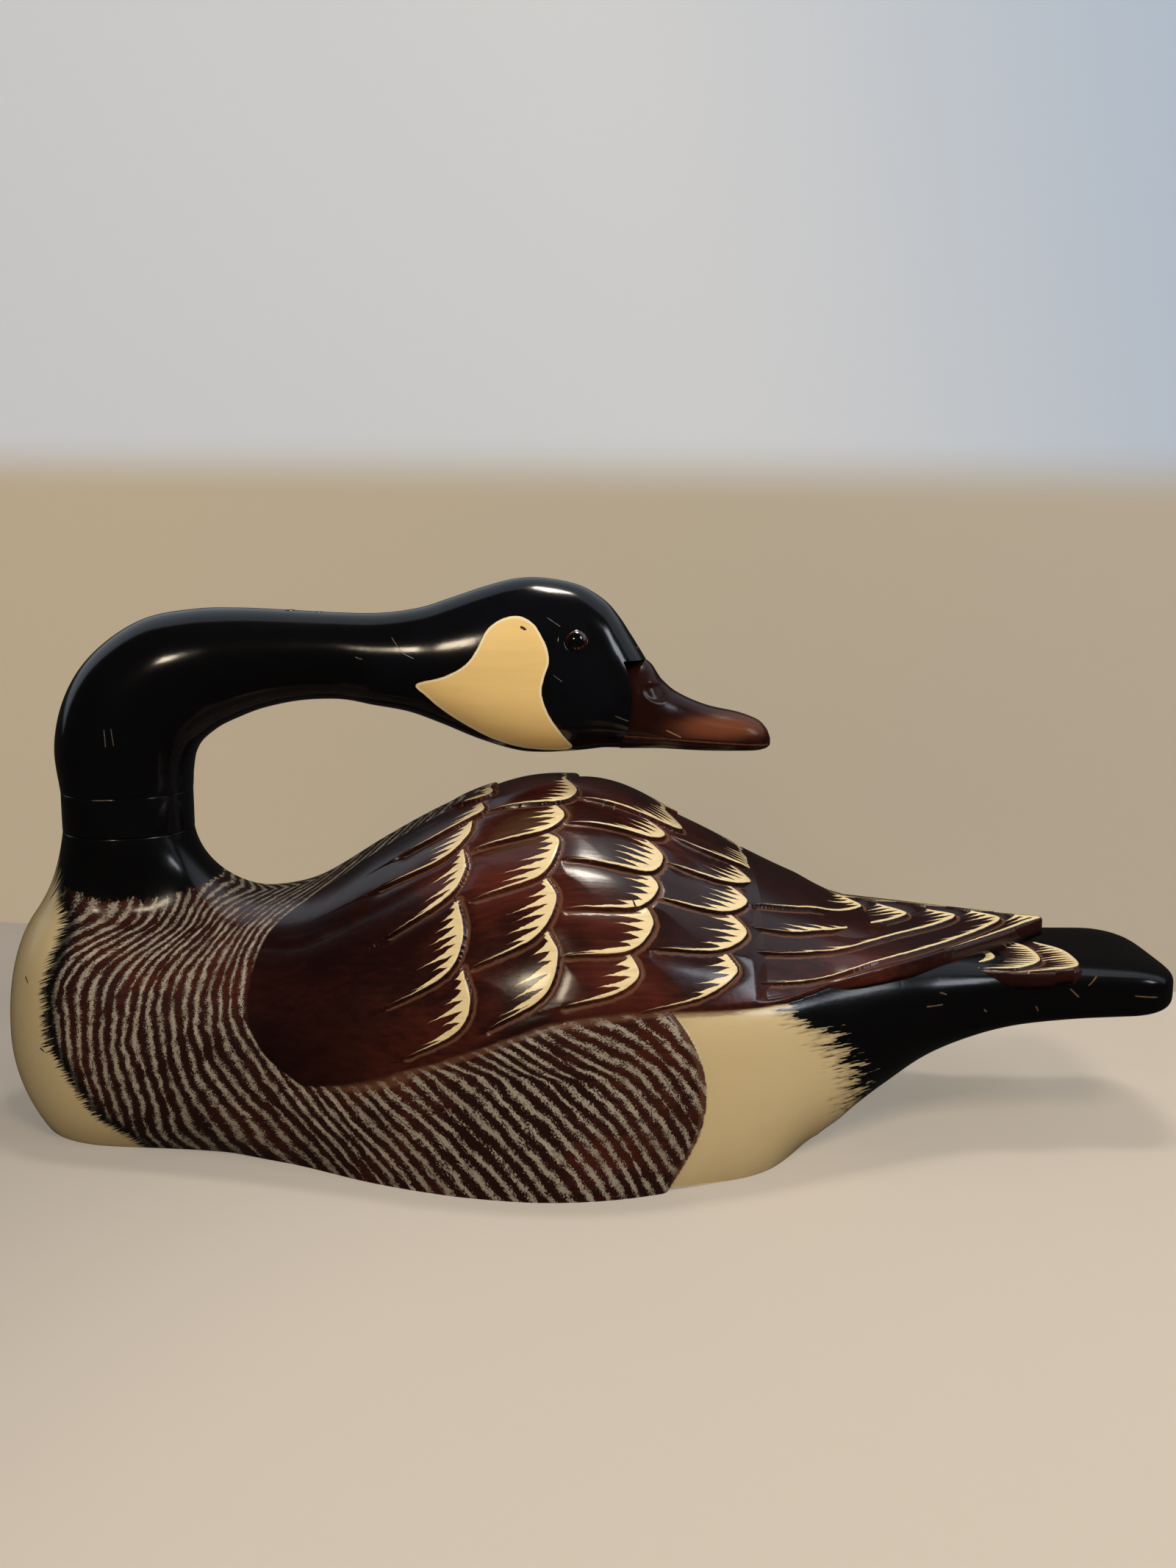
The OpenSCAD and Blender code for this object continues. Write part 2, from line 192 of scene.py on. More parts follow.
def plain_sheet(name, corners, shade, mirrored, share):
    """A sheet seen partly as plain glow, mirrored only dimly in gloss, and open from behind."""
    mesh = bpy.data.meshes.new(name)
    mesh.from_pydata(corners, [], [(0, 1, 2, 3)])
    sheet = bpy.data.objects.new(name, mesh)
    bpy.context.collection.objects.link(sheet)
    material = new_material(name)
    colour = shade()
    finish_material(material, colour, 0.85, Specular_IOR_Level=0.2)
    lit = Wire(material.node_tree.nodes["Principled BSDF"].outputs[0])
    glow = Wire.node("ShaderNodeEmission", {}, {"Color": colour})
    dim = Wire.node("ShaderNodeEmission", {}, {"Color": mirrored()})
    seen = Wire.node("ShaderNodeLightPath", out="Is Camera Ray") * share
    gloss = Wire.node("ShaderNodeLightPath", out="Is Glossy Ray")
    behind = Wire.node("ShaderNodeNewGeometry", out="Backfacing")
    clear = Wire.node("ShaderNodeBsdfTransparent")
    blend = Wire.node("ShaderNodeMixShader", {}, {0: seen, 1: lit, 2: glow})
    blend = Wire.node("ShaderNodeMixShader", {}, {0: gloss, 1: blend, 2: dim})
    blend = Wire.node("ShaderNodeMixShader", {}, {0: behind, 1: blend, 2: clear})
    material.node_tree.links.new(blend.socket, material.node_tree.nodes["Material Output"].inputs["Surface"])
    mesh.materials.append(material)


# Painted light on the wall: warm below and lighter to the left, and a cool, light band above as if lit from
# above, bluer and darker towards the right.
def wall_painted_light():
    warm = mix(axis("X").step(-450.0, 450.0), (0.57, 0.475, 0.335), (0.48, 0.42, 0.33))
    cool = mix((axis("X") + axis("Z") * 0.3).step(150.0, 650.0), (0.68, 0.70, 0.735), (0.42, 0.52, 0.66))
    return mix((axis("Z") + axis("X") * 0.02).step(325.0, 372.0), warm, cool)


# What gloss sees of the wall, as glow: dim below, and a bright cool band above, a painted reflection of the
# lit upper wall that shows as sheen on the tops of the head and neck.
def wall_mirrored():
    return mix(axis("Z").step(320.0, 420.0), (0.022, 0.020, 0.018), (0.45, 0.50, 0.56))


def table_painted_shade():
    """Painted shade: the table darkens towards the left."""
    rightward = (axis("X") - axis("Y") * 0.25).step(-420.0, 0.0)
    return mix(rightward, (0.40, 0.36, 0.32), (0.60, 0.535, 0.455))


def table_mirrored():
    return (0.020, 0.018, 0.016, 1)


sheet_end, wall_height = 6, 5
plain_sheet("table_top", [(-sheet_end, -sheet_end, 0), (sheet_end, -sheet_end, 0), (sheet_end, sheet_end, 0),
                          (-sheet_end, sheet_end, 0)], table_painted_shade, table_mirrored, 0.45)
plain_sheet("wall", [(wall_place[0] + d * math.cos(wall_turn), wall_place[1] + d * math.sin(wall_turn), z)
                     for d, z in ((-sheet_end, 0), (sheet_end, 0), (sheet_end, wall_height),
                                  (-sheet_end, wall_height))],
            wall_painted_light, wall_mirrored, 0.55)


def area_lamp(name, spot, target, size, watts, colour, mirrored=True):
    """A lamp on the stage, aimed at a target. One that isn't mirrored leaves no highlight."""
    lamp = bpy.data.lights.new(name, "AREA")
    lamp.shape = "RECTANGLE"
    lamp.size, lamp.size_y = size
    lamp.energy = watts
    lamp.color = colour
    holder = bpy.data.objects.new(name, lamp)
    bpy.context.collection.objects.link(holder)
    holder.location = spot
    holder.visible_glossy = mirrored
    away = np.array(spot) - np.array(target)
    holder.rotation_euler = (math.atan2(math.hypot(away[0], away[1]), away[2]), 0,
                             math.atan2(away[0], -away[1]))


area_lamp("top_lamp", (0.22, 0.20, 1.9), (0, 0, 0.12), (0.40, 0.40), 20, (1.0, 0.93, 0.82))
area_lamp("key_lamp", (0.50, -1.30, 1.55), (0, 0, 0.12), (0.45, 0.45), 18, (1.0, 0.84, 0.63), False)
area_lamp("left_lamp", (-0.72, -1.80, 1.25), (0, 0, 0.12), (0.25, 0.25), 6, (1.0, 0.84, 0.62))
area_lamp("right_lamp", (1.55, -0.95, 1.35), (0, 0, 0.12), (0.40, 0.80), 8, (0.84, 0.91, 1.0))

world = bpy.data.worlds.new("room")
world.use_nodes = True
Wire.tree = world.node_tree
dimmed = 0.22 - Wire.node("ShaderNodeLightPath", out="Is Glossy Ray") * 0.19
world.node_tree.nodes["Background"].inputs["Color"].default_value = (0.74, 0.72, 0.70, 1)
world.node_tree.links.new(dimmed.socket, world.node_tree.nodes["Background"].inputs["Strength"])
bpy.context.scene.world = world

lens = bpy.data.cameras.new("camera")
lens.sensor_fit = "VERTICAL"
lens.sensor_height = 36
lens.lens = 35.7975
camera = bpy.data.objects.new("camera", lens)
bpy.context.collection.objects.link(camera)
camera.location = (0.002, -0.800, 0.3065)
camera.rotation_euler = (math.radians(90 - 9.28), 0, 0)
bpy.context.scene.camera = camera
bpy.context.scene.view_settings.view_transform = "Standard"

# ---------------------------------------------------------------- bottom plank
# The lowest of three planks of carving wood that are glued up and carved as one block.
# Its flat underside is the base that the bird stands on.

# The carver's stations: place along the body, height of the back, half width, height of the
# widest point, half width of the base, squareness of the section. All in millimetres.
stations = np.array([
    [-301.5, 150, 61, 50, 45, 2.1], [-270, 135, 66, 50, 52, 2.1], [-236, 121, 72, 52, 55, 2.1],
    [-180, 119, 84, 55, 62, 2.05], [-155, 121, 90, 56, 72, 2], [-137, 127, 95, 57, 80, 2],
    [-105, 146.5, 104.5, 58, 97.5, 2], [-78, 161.5, 112.5, 59, 109, 2],
    [-50, 174, 120, 60, 117.5, 2], [-17, 180, 125.5, 60, 122, 2], [18, 175, 125.5, 61, 118, 2],
    [55, 155.5, 117.5, 62, 104, 2.05], [90, 136.5, 104.5, 64, 84, 2.1],
    [122, 121.5, 88, 67, 34, 2.2], [150, 112, 74, 71, 0, 2.4], [175, 101.5, 62, 74, 0, 2.7],
    [205, 94, 52.5, 76, 0, 3.3], [240, 91, 48.5, 77, 0, 4], [275, 89.5, 50.5, 77, 0, 4.5],
    [301.5, 88, 52, 77, 0, 4.5]])
rump = np.array([[118, 0], [128, 4], [137, 11], [150, 21.5], [170, 36.5], [190, 46.5],
                 [215, 54.5], [245, 59], [275, 62], [301.5, 63.5]])
nose_x, tail_x = stations[0, 0], stations[-1, 0]
breast_start, fan_start = -236.0, 276.0
lower_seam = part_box("lower_body")[1][2] / MM
upper_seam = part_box("upper_body")[0][2] / MM


def curve(rows, x, k):
    """Smooth cubic through the rows' k-th column, flat beyond both ends."""
    place, value = rows[:, 0], rows[:, k]
    i = np.clip(np.searchsorted(place, x, side="right") - 1, 0, len(place) - 2)
    back = np.maximum(np.arange(len(place)) - 1, 0)
    ahead = np.minimum(np.arange(len(place)) + 1, len(place) - 1)
    slope = (value[ahead] - value[back]) / (place[ahead] - place[back])
    h = place[i + 1] - place[i]
    t = np.clip((x - place[i]) / h, 0, 1)
    return ((1 + 2 * t) * (1 - t) ** 2 * value[i] + t * (1 - t) ** 2 * h * slope[i]
            + t * t * (3 - 2 * t) * value[i + 1] + t * t * (t - 1) * h * slope[i + 1])


def through(points, x):
    """A curve through given (x, value) pairs."""
    return curve(np.array(points, float), np.asarray(x, float), 1)


def section_sizes(x):
    ends = np.maximum((breast_start - x) / (breast_start - nose_x), (x - fan_start) / (tail_x - fan_start))
    live = np.clip(1 - np.maximum(ends, 0) ** 2, 1e-6, 1)
    width, n = curve(stations, x, 2), curve(stations, x, 5)
    base = np.clip(curve(stations, x, 4), 0, 0.985 * width)
    low = np.where(x < rump[0, 0], 0, np.maximum(curve(rump, x, 1), 0))
    return live, width, n, curve(stations, x, 1), curve(stations, x, 3), low, 1 - (base / width) ** n


def on_body(x, turn):
    """Point of the block at a place along it and a turn in degrees: 0 crest, 90 widest point."""
    live, width, n, top, mid, low, fade = section_sizes(x)
    sweep = np.radians(turn)
    up = turn <= 90
    rise = np.abs(np.cos(sweep))
    y = np.sign(np.sin(sweep)) * width * (live * np.sin(sweep) ** 2) ** (1 / n)
    above = mid + (top - mid) * (live * rise ** 2) ** (1 / n)
    below = mid - (mid - low) * np.minimum(1, live * rise ** 2 / fade) ** (1 / n)
    return np.stack([x + 0 * turn, y, np.where(up, above, below)], -1)


def turn_at(x, z):
    """The turn at which the block's side reaches the height z."""
    live, _, n, top, mid, low, fade = section_sizes(x)
    high = np.clip(((z - mid) / (top - mid)), 0, 1) ** n / live
    deep = np.clip(((mid - z) / (mid - low)), 0, 1) ** n * fade / live
    above = np.degrees(np.arccos(np.sqrt(np.clip(high, 0, 1))))
    below = 90 + np.degrees(np.arcsin(np.sqrt(np.clip(deep, 0, 1))))
    return np.where(z >= mid, above, below)


def base_turn(x):
    live, fade = section_sizes(x)[0], section_sizes(x)[6]
    return 90 + np.degrees(np.arcsin(np.sqrt(np.minimum(0.998, fade / live))))


def chart(points):
    """Place along the body and turn of any points near its skin."""
    x, y, z = points[..., 0], points[..., 1], points[..., 2]
    _, width, n, top, mid, low, fade = section_sizes(x)
    side = np.abs(y) / width
    up = np.maximum(z - mid, 0) / (top - mid)
    above = np.degrees(np.arctan2(side ** (n / 2), up ** (n / 2) + 1e-9))
    down = np.clip((mid - z) / (mid - low + 1e-9), 0, 1) ** n * fade
    below = 90 + np.degrees(np.arcsin(np.sqrt(np.clip(down, 0, 1))))
    return x, np.where(z >= mid, above, below)


# One degree of turn is taken as this many millimetres of skin when feathers are laid out.
turn_mm = 1.9

# Edges of the carved and painted fields, as (turn, place) or (place, turn) pairs.
wing_edge = [(-170, 98), (-148, 97), (-115, 94), (-90, 91), (-65, 87), (-38, 82), (-15, 78), (19, 75.5),
             (42, 74.5), (70, 73.5), (90, 72), (105, 69), (125, 63.5), (150, 57), (170, 50), (190, 46)]
shoulder_edge = [(0, -45), (3, -58), (8, -80), (12, -110), (18, -137), (31, -154), (53, -161), (72, -160),
                 (88, -150), (95, -135), (100, -115)]
lobe_edge = [(60, 20), (70, 34), (75, 42), (82, 50), (91, 56), (97, 57), (103, 55), (109, 49), (116, 38),
             (130, 20)]
tail_edge = [(60, 84), (73, 97), (87, 117), (98, 128), (116, 134), (150, 138), (180, 140)]
breast_edge = [(0, -276), (20, -272), (35, -265), (50, -266), (63, -270), (75, -270), (87, -267), (94, -260),
               (101, -254), (111, -246), (119, -236), (128, -226), (150, -215)]

# Feathers of the wing, row by row from the shoulder back and from the crest down. Each is the
# edge of one feather: its top tip, two points of its round end, and its long lower tip.
wing_rows = [
    [[(-50, -3), (-46, 7), (-53, 9), (-62, 7)],
     [(-51, 12), (-50, 18), (-66, 21), (-88, 23)],
     [(-55, 19), (-56, 27), (-69, 33), (-98, 34)],
     [(-58, 31), (-56, 39), (-64, 46), (-91, 52)],
     [(-59, 47), (-55, 57), (-63, 66), (-90, 72)],
     [(-55, 65), (-51, 73), (-58, 80), (-82, 86)]],
    [[(-9, 3), (-3, 13), (-14, 19), (-48, 18)],
     [(-13, 19), (-9, 25), (-21, 31), (-55, 33)],
     [(-17, 30), (-11, 34), (-20, 44), (-50, 48)],
     [(-17, 44), (-12, 50), (-22, 59), (-51, 65)],
     [(-16, 57), (-11, 63), (-18, 72), (-43, 79)]],
    [[(42, 2), (50, 12), (25, 16), (-4, 15)],
     [(32, 15), (41, 20), (30, 26), (-8, 27)],
     [(31, 25), (39, 31), (29, 39), (-8, 39)],
     [(29, 36), (36, 42), (24, 50), (-8, 52)],
     [(28, 46), (33, 53), (21, 61), (-8, 63)],
     [(21, 60), (26, 66), (15, 71), (-9, 74)]],
    [[(83, 2), (91, 12), (68, 17), (42, 19)],
     [(76, 18), (84, 23), (69, 30), (38, 32)],
     [(73, 29), (80, 35), (66, 43), (32, 45)],
     [(71, 41), (78, 48), (64, 56), (34, 59)],
     [(68, 56), (72, 62), (56, 70), (26, 75)]]]


def rounded(a, b, c, d, t):
    """A point on the smooth line from b to c, between the neighbours a and d."""
    return 0.5 * (2 * b + (c - a) * t + (2 * a - 5 * b + 4 * c - d) * t * t
                  + (3 * b - a - 3 * c + d) * t ** 3)


def feather_line(points, across):
    """Points along one feather's edge, in millimetres of skin."""
    p = np.array(points, float) * (1, across)
    p = np.vstack([2 * p[0] - p[1], p, 2 * p[-1] - p[-2]])
    line = []
    for i in range(1, len(p) - 2):
        for t in np.linspace(0, 1, 12, endpoint=i == len(p) - 3):
            line.append(rounded(p[i - 1], p[i], p[i + 1], p[i + 2], t))
    return np.array(line)


# Distance in millimetres given to points that are on no feather, or on no side of an edge.
far_away = 60.0


def lay_feathers(rows, x, v, across, inside, barb_mm, thick=1.0):
    """Which feather owns each point of the skin, and where on that feather the point lies.

    Earlier feathers lie on top. Returns the distance inside the owner's edge, the distance
    ahead of the edge, the length of solid cream, the length of the longest barbs, the barb
    number, the distance outside the feathers on top, and the distance inside the cream rim,
    which narrows towards the long lower tip.
    """
    depth, ahead, gap, rim = (np.full(x.shape, far_away) for _ in range(4))
    solid, reach, barb = np.zeros(x.shape), np.ones(x.shape), np.zeros(x.shape)
    free = inside.copy()
    number = 0
    for row in rows:
        for k, points in enumerate(row):
            number += 1
            line = feather_line(points, across)
            along = line[-1] - line[-9]
            along = along / np.linalg.norm(along)
            over = np.array([-along[1], along[0]])
            if over @ (line[-1] - line[0]) < 0:
                over = -over
            near = free & (x > line[:, 0].min() - 90) & (x < line[:, 0].max() + 30)
            near &= (v > line[:, 1].min() - 30) & (v < line[:, 1].max() + 40)
            if not near.any():
                continue
            b_line = np.maximum.accumulate((line - line[0]) @ over) + np.arange(len(line)) * 1e-6
            a_line = (line - line[0]) @ along
            px, pv = x[near] - line[0, 0], v[near] - line[0, 1]
            b = px * over[0] + pv * over[1]
            a = px * along[0] + pv * along[1]
            forward = a - np.interp(b, b_line, a_line)
            chord = a_line[-1] * np.clip(b / b_line[-1], 0, 1) - np.interp(b, b_line, a_line)
            d = np.full(px.shape, 1e9)
            for j, step in enumerate(line[1:] - line[:-1]):
                ex, ev = px - (line[j, 0] - line[0, 0]), pv - (line[j, 1] - line[0, 1])
                q = np.clip((ex * step[0] + ev * step[1]) / (step @ step), 0, 1)
                d = np.minimum(d, (ex - q * step[0]) ** 2 + (ev - q * step[1]) ** 2)
            d = np.sqrt(d)
            own = (forward > 0) & (b < b_line[-1]) & ((b > 0) | (k == 0))
            take = np.zeros(x.shape, bool)
            take[near] = own
            depth[take], ahead[take] = d[own], forward[own]
            barb[take] = b[own] / barb_mm + 17.0 * number
            solid[take] = thick * np.minimum(1.0 + 0.28 * chord[own], 4.5)
            rim[take] = (d - 0.6 - 2.1 * np.clip(1 - a / a_line[-1], 0, 1))[own]
            reach[take] = np.minimum(2.8 + chord[own], 23)
            free &= ~take
            rest = np.zeros(x.shape, bool)
            rest[near] = ~own
            gap[rest] = np.minimum(gap[rest], d[~own])
    return {"edge": np.minimum(depth, gap), "depth": depth, "ahead": ahead, "solid": solid,
            "reach": reach, "barb": barb, "gap": gap, "rim": rim}


# Brush strokes of the breast and flank: each row is one stroke seen on the bird, as
# (place, turn) pairs, with its distance from the foremost stroke.
strokes = [
    (0, [(-227, 36), (-240, 45), (-255, 55), (-257, 70), (-256, 84), (-252, 98), (-248, 112)]),
    (22, [(-202, 33), (-221, 43), (-231, 60), (-234, 77), (-234, 92), (-230, 109), (-229, 125)]),
    (46, [(-184, 21), (-198, 39), (-206, 56), (-210, 72), (-209, 89), (-204, 104), (-199, 125)]),
    (66, [(-168, 18), (-182, 39), (-190, 56), (-192, 71), (-188, 86), (-177, 101), (-160, 122)]),
    (85, [(-150, 16), (-167, 36), (-171, 53), (-172, 68), (-166, 83), (-154, 97), (-120, 115)]),
    (100, [(-115, 10), (-141, 15), (-155, 25), (-161, 45), (-160, 62), (-148, 85), (-130, 97), (-89, 107)]),
    (128, [(-112, 93), (-93, 96), (-73, 98), (-54, 101)]),
    (146, [(-97, 91), (-78, 93), (-56, 95), (-37, 98), (-25, 102)]),
    (174, [(-58, 86), (-41, 90), (-22, 93), (-6, 98), (10, 107)]),
    (195, [(-34, 85), (-15, 89), (3, 93), (22, 100), (34, 112)]),
    (213, [(-20, 78), (-1, 83), (17, 89), (34, 96), (46, 105)]),
    (229, [(3, 76), (22, 81), (41, 89), (53, 97)]),
    (238, [(22, 75), (38, 80), (53, 90)])]
stroke_spots = np.array([(px, pt * turn_mm) for _, line in strokes for px, pt in line])
stroke_values = np.array([value for value, line in strokes for _ in line], float)
spread = np.linalg.norm(stroke_spots[:, None] - stroke_spots[None], axis=-1)
stroke_ease = 30.0
stroke_slack = 6.0
stroke_weights = np.linalg.solve(
    np.block([[np.sqrt(spread ** 2 + stroke_ease ** 2) - stroke_slack * np.eye(len(spread)),
               np.c_[np.ones(len(spread)), stroke_spots]],
              [np.c_[np.ones(len(spread)), stroke_spots].T, np.zeros((3, 3))]]),
    np.r_[stroke_values, 0, 0, 0])


def stroke_lines(x, turn):
    """Distance across the brush strokes, in millimetres."""
    v = turn * turn_mm
    total = stroke_weights[-3] + stroke_weights[-2] * x + stroke_weights[-1] * v
    for weight, (sx, sv) in zip(stroke_weights, stroke_spots):
        total = total + weight * np.sqrt((x - sx) ** 2 + (v - sv) ** 2 + stroke_ease ** 2)
    return total


def fields(x, turn, z):
    """Everything the carver and the painter need to know at each point of the block's skin."""
    wing_only = (through(wing_edge, x) - turn) * turn_mm
    wing = np.minimum(wing_only, x - through(shoulder_edge, turn))
    found = lay_feathers(wing_rows, x, turn * turn_mm, turn_mm, wing > 0, 4.2)
    found.update(wing=wing, trench=wing_only, lobe=through(lobe_edge, turn) - x,
                 tail=x - through(tail_edge, turn), breast=through(breast_edge, turn) - x,
                 sock=z - 121.5 - 0.0048 * (x + 228) ** 2, stroke=stroke_lines(x, turn),
                 along=turn * turn_mm + 0.55 * x)
    return found


def relief(f):
    """Low relief of overlapping feathers: each stands proud of the ones behind and below it."""
    swell = 0.5 * np.exp(-f["depth"] / 8) - 0.6 * np.clip(1 - f["depth"] / 1.6, 0, 1) ** 2
    return swell - 1.9 * np.exp(-f["gap"] / 7.0)


def carving(x, f):
    """How far the carver's tools leave the skin above the smooth block, in millimetres."""
    wing_there = np.clip((x + 165) / 60, 0, 1)
    roll = -1.1 * np.clip(1 - f["trench"] / 4.0, 0, 1) ** 2 * wing_there
    under_insert = -2.6 * np.clip((x - 80) / 14, 0, 1) * np.clip((f["trench"] - 3) / 3, 0, 1)
    under_wing = -1.6 * np.exp(np.minimum(f["trench"], 0) / 5.5) * wing_there
    rump_drop = -2.4 * np.exp(np.minimum(f["lobe"], 0) / 26) * np.clip((x - 20) / 10, 0, 1)
    lobe_roll = -1.3 * np.clip(1 - f["lobe"] / 4.5, 0, 1) ** 2
    out = np.where(f["wing"] > 0, relief(f) + under_insert, 0) + np.where(f["trench"] > 0, roll, 0)
    out = np.where(f["trench"] <= 0, under_wing + np.where(f["lobe"] < 0, rump_drop, lobe_roll), out)
    return out * np.clip((175 - x) / 30, 0, 1)


def skin_normals(grid):
    along = np.gradient(grid, axis=0)
    across = np.gradient(grid, axis=1)
    n = np.cross(along, across)
    size = np.linalg.norm(n, axis=-1, keepdims=True)
    return n / np.maximum(size, 1e-12)


def weld(points, faces, extras):
    """Joins points that fall together, and drops faces that shrink to nothing."""
    weld_mm = 2e-3
    key = np.round(points / weld_mm).astype(np.int64)
    _, first, where = np.unique(key, axis=0, return_index=True, return_inverse=True)
    where = where.reshape(-1)
    faces = where[faces]
    shrunk = (faces == np.roll(faces, -1, axis=1)).any(axis=1) | (faces[:, :2] == faces[:, 2:]).any(axis=1)
    flat = []
    for face in faces[shrunk]:
        corners = list(dict.fromkeys(face.tolist()))
        if len(corners) == 3:
            flat.append(corners)
    good = faces[~shrunk]
    return points[first], good.tolist() + flat, {k: e[first] for k, e in extras.items()}


def grid_faces(rows, columns, start=0):
    i, j = np.meshgrid(np.arange(rows - 1), np.arange(columns - 1), indexing="ij")
    a = start + i * columns + j
    b = start + i * columns + (j + 1) % columns
    return np.stack([a, a + columns, b + columns, b], -1).reshape(-1, 4)


def make_piece(name, points, faces, guides, normals=None):
    """A Blender object from points in millimetres, with its painting guides as attributes."""
    extras = dict(guides)
    if normals is not None:
        extras["normal"] = normals
    points = np.clip(points, np.array(cad_box[0]) / MM, np.array(cad_box[1]) / MM)
    points, faces, extras = weld(points, np.asarray(faces), extras)
    mesh = bpy.data.meshes.new(name)
    mesh.from_pydata((points * MM).tolist(), [], faces)
    mesh.shade_smooth()
    turned = extras.pop("normal", None)
    for key, values in extras.items():
        mesh.attributes.new(key, "FLOAT", "POINT").data.foreach_set("value", values.astype(np.float32))
    if turned is not None:
        mesh.normals_split_custom_set_from_vertices(turned.tolist())
    piece = bpy.data.objects.new(name, mesh)
    bpy.context.collection.objects.link(piece)
    return piece


def places_along(first, last, step):
    """Stations for the skin, closer together where the breast and the tail fan round off."""
    nose = breast_start - (breast_start - nose_x) * np.sin(np.radians(np.linspace(90, 0, 70)))
    middle = np.linspace(breast_start, fan_start, int((fan_start - breast_start) / step))
    fan = fan_start + (tail_x - fan_start) * np.sin(np.radians(np.linspace(0, 90, 45)))
    everywhere = np.unique(np.round(np.concatenate([nose, middle, fan]), 4))
    everywhere = everywhere[(everywhere > first + 0.2) & (everywhere < last - 0.2)]
    return np.concatenate([[first], everywhere, [last]])


def skin_strip(xs, start_turn, end_turn, count):
    """One side of the block's skin between two turns, carved, with normals from a wider strip."""
    x = xs[:, None] + np.zeros((1, count + 2))
    s = np.linspace(-1 / (count - 1), 1 + 1 / (count - 1), count + 2)[None, :]
    turn = start_turn[:, None] * (1 - s) + end_turn[:, None] * s
    turn = np.clip(turn, -179, 179.9)
    smooth = on_body(x, turn)
    f = fields(x, np.abs(turn), smooth[..., 2])
    out = skin_normals(smooth)
    carved = smooth + out * carving(x, f)[..., None]
    carved[..., 2] = np.maximum(carved[..., 2], 0)
    normals = skin_normals(carved)[:, 1:-1]
    return carved[:, 1:-1], normals, {k: v[:, 1:-1] for k, v in f.items()}


def both_skins(name, xs, start_turn, end_turn, count, sides=(-1, 1)):
    """Skins of a plank between two turns. A left and right pair is closed across by flat strips."""
    grid, normal, found = skin_strip(xs, start_turn, end_turn, count)
    points, faces, normals, guides = [], [], [], {k: [] for k in found}
    rows, columns = grid.shape[:2]
    for side in sides:
        start = sum(len(p) for p in points)
        f = grid_faces(rows, columns, start)
        faces.append(f if side > 0 else f[:, ::-1])
        points.append((grid * (1, side, 1)).reshape(-1, 3))
        normals.append((normal * (1, side, 1)).reshape(-1, 3))
        for k in found:
            guides[k].append(found[k].reshape(-1))
    if len(sides) == 2:
        half = rows * columns
        for column, order in ((0, 1), (columns - 1, -1)):
            a = np.arange(rows - 1) * columns + column
            strip = np.stack([a, a + columns, a + columns + half, a + half], -1)
            faces.append(strip[:, ::order])
    return make_piece(name, np.concatenate(points), np.concatenate(faces),
                      {k: np.concatenate(v) for k, v in guides.items()}, np.concatenate(normals))


bottom_end = float(np.interp(lower_seam, rump[:, 1], rump[:, 0]))
xs = places_along(nose_x, bottom_end, 1.3)
bottom_plank = both_skins("bottom_plank", xs, turn_at(xs, lower_seam), base_turn(xs), 64)


cream = (0.58, 0.48, 0.285)
feather_cream = (0.80, 0.665, 0.40)
cream_shade = (0.52, 0.40, 0.22)
dark_stain = (0.016, 0.0040, 0.0032)
red_stain = (0.115, 0.022, 0.012)
gouge_brown = (0.14, 0.062, 0.036)
black_gloss = (0.0022, 0.0022, 0.0028)
stroke_grey = (0.37, 0.335, 0.275)


def stain_colour():
    """Dark red-brown stain, lighter in patches where it lies thin, with the grain running along the bird."""
    grain = noise(stretched((6, 60, 60)), 6.0, 4.0, 0.6, False)
    fine = noise(stretched((25, 420, 420)), 1.0, 2.0, 0.6)
    patches = noise(place(), 13.0, 3.0, 0.55, False)
    thin = (patches * 0.85 + grain * 0.30 + fine * 0.10).step(0.50, 0.84)
    return mix(thin * 0.8, dark_stain, red_stain), grain + fine * 0.6


def feather_paint(ground):
    """Cream crescents with pointed barbs along each feather's edge, and the carver's gouge line."""
    wobble = noise(place(), 260.0, 2.0)
    barb = guide("barb") + wobble * 0.35
    luck = chance(barb.math("FLOOR"))
    tooth = (barb.math("FRACT") - 0.5).math("ABSOLUTE") * 2.0
    solid = guide("solid") * (0.85 + luck * 0.3)
    reach = guide("reach") * (0.55 + luck * 0.65)
    gone = ((guide("ahead") - solid) / (reach - solid + 0.01)).either(0.0).both(1.0)
    point = (1 - gone).math("POWER", 1.9)
    barbs = (point - tooth + wobble * 0.12).step(-0.02, 0.08) * (1 - gone.step(0.94, 1.0))
    solid_here = 1 - (guide("ahead") - solid).both(guide("rim") + wobble * 0.8).step(-0.2, 0.2)
    rim = (guide("edge") - 0.75 + wobble * 0.7).step(-0.2, 0.25)
    cream_here = barbs.either(solid_here) * rim
    streak = noise(stretched((60, 60, 700)), 1.0, 2.0, 0.5, False).step(0.45, 0.8)
    gouge = (1 - (guide("gap") - 1.5 + wobble * 1.6).math("ABSOLUTE").step(0.2, 1.3)) * 0.85
    painted = mix(gouge, ground, gouge_brown)
    return mix(cream_here, painted, mix(streak * 0.4, feather_cream, cream_shade)), cream_here, gouge


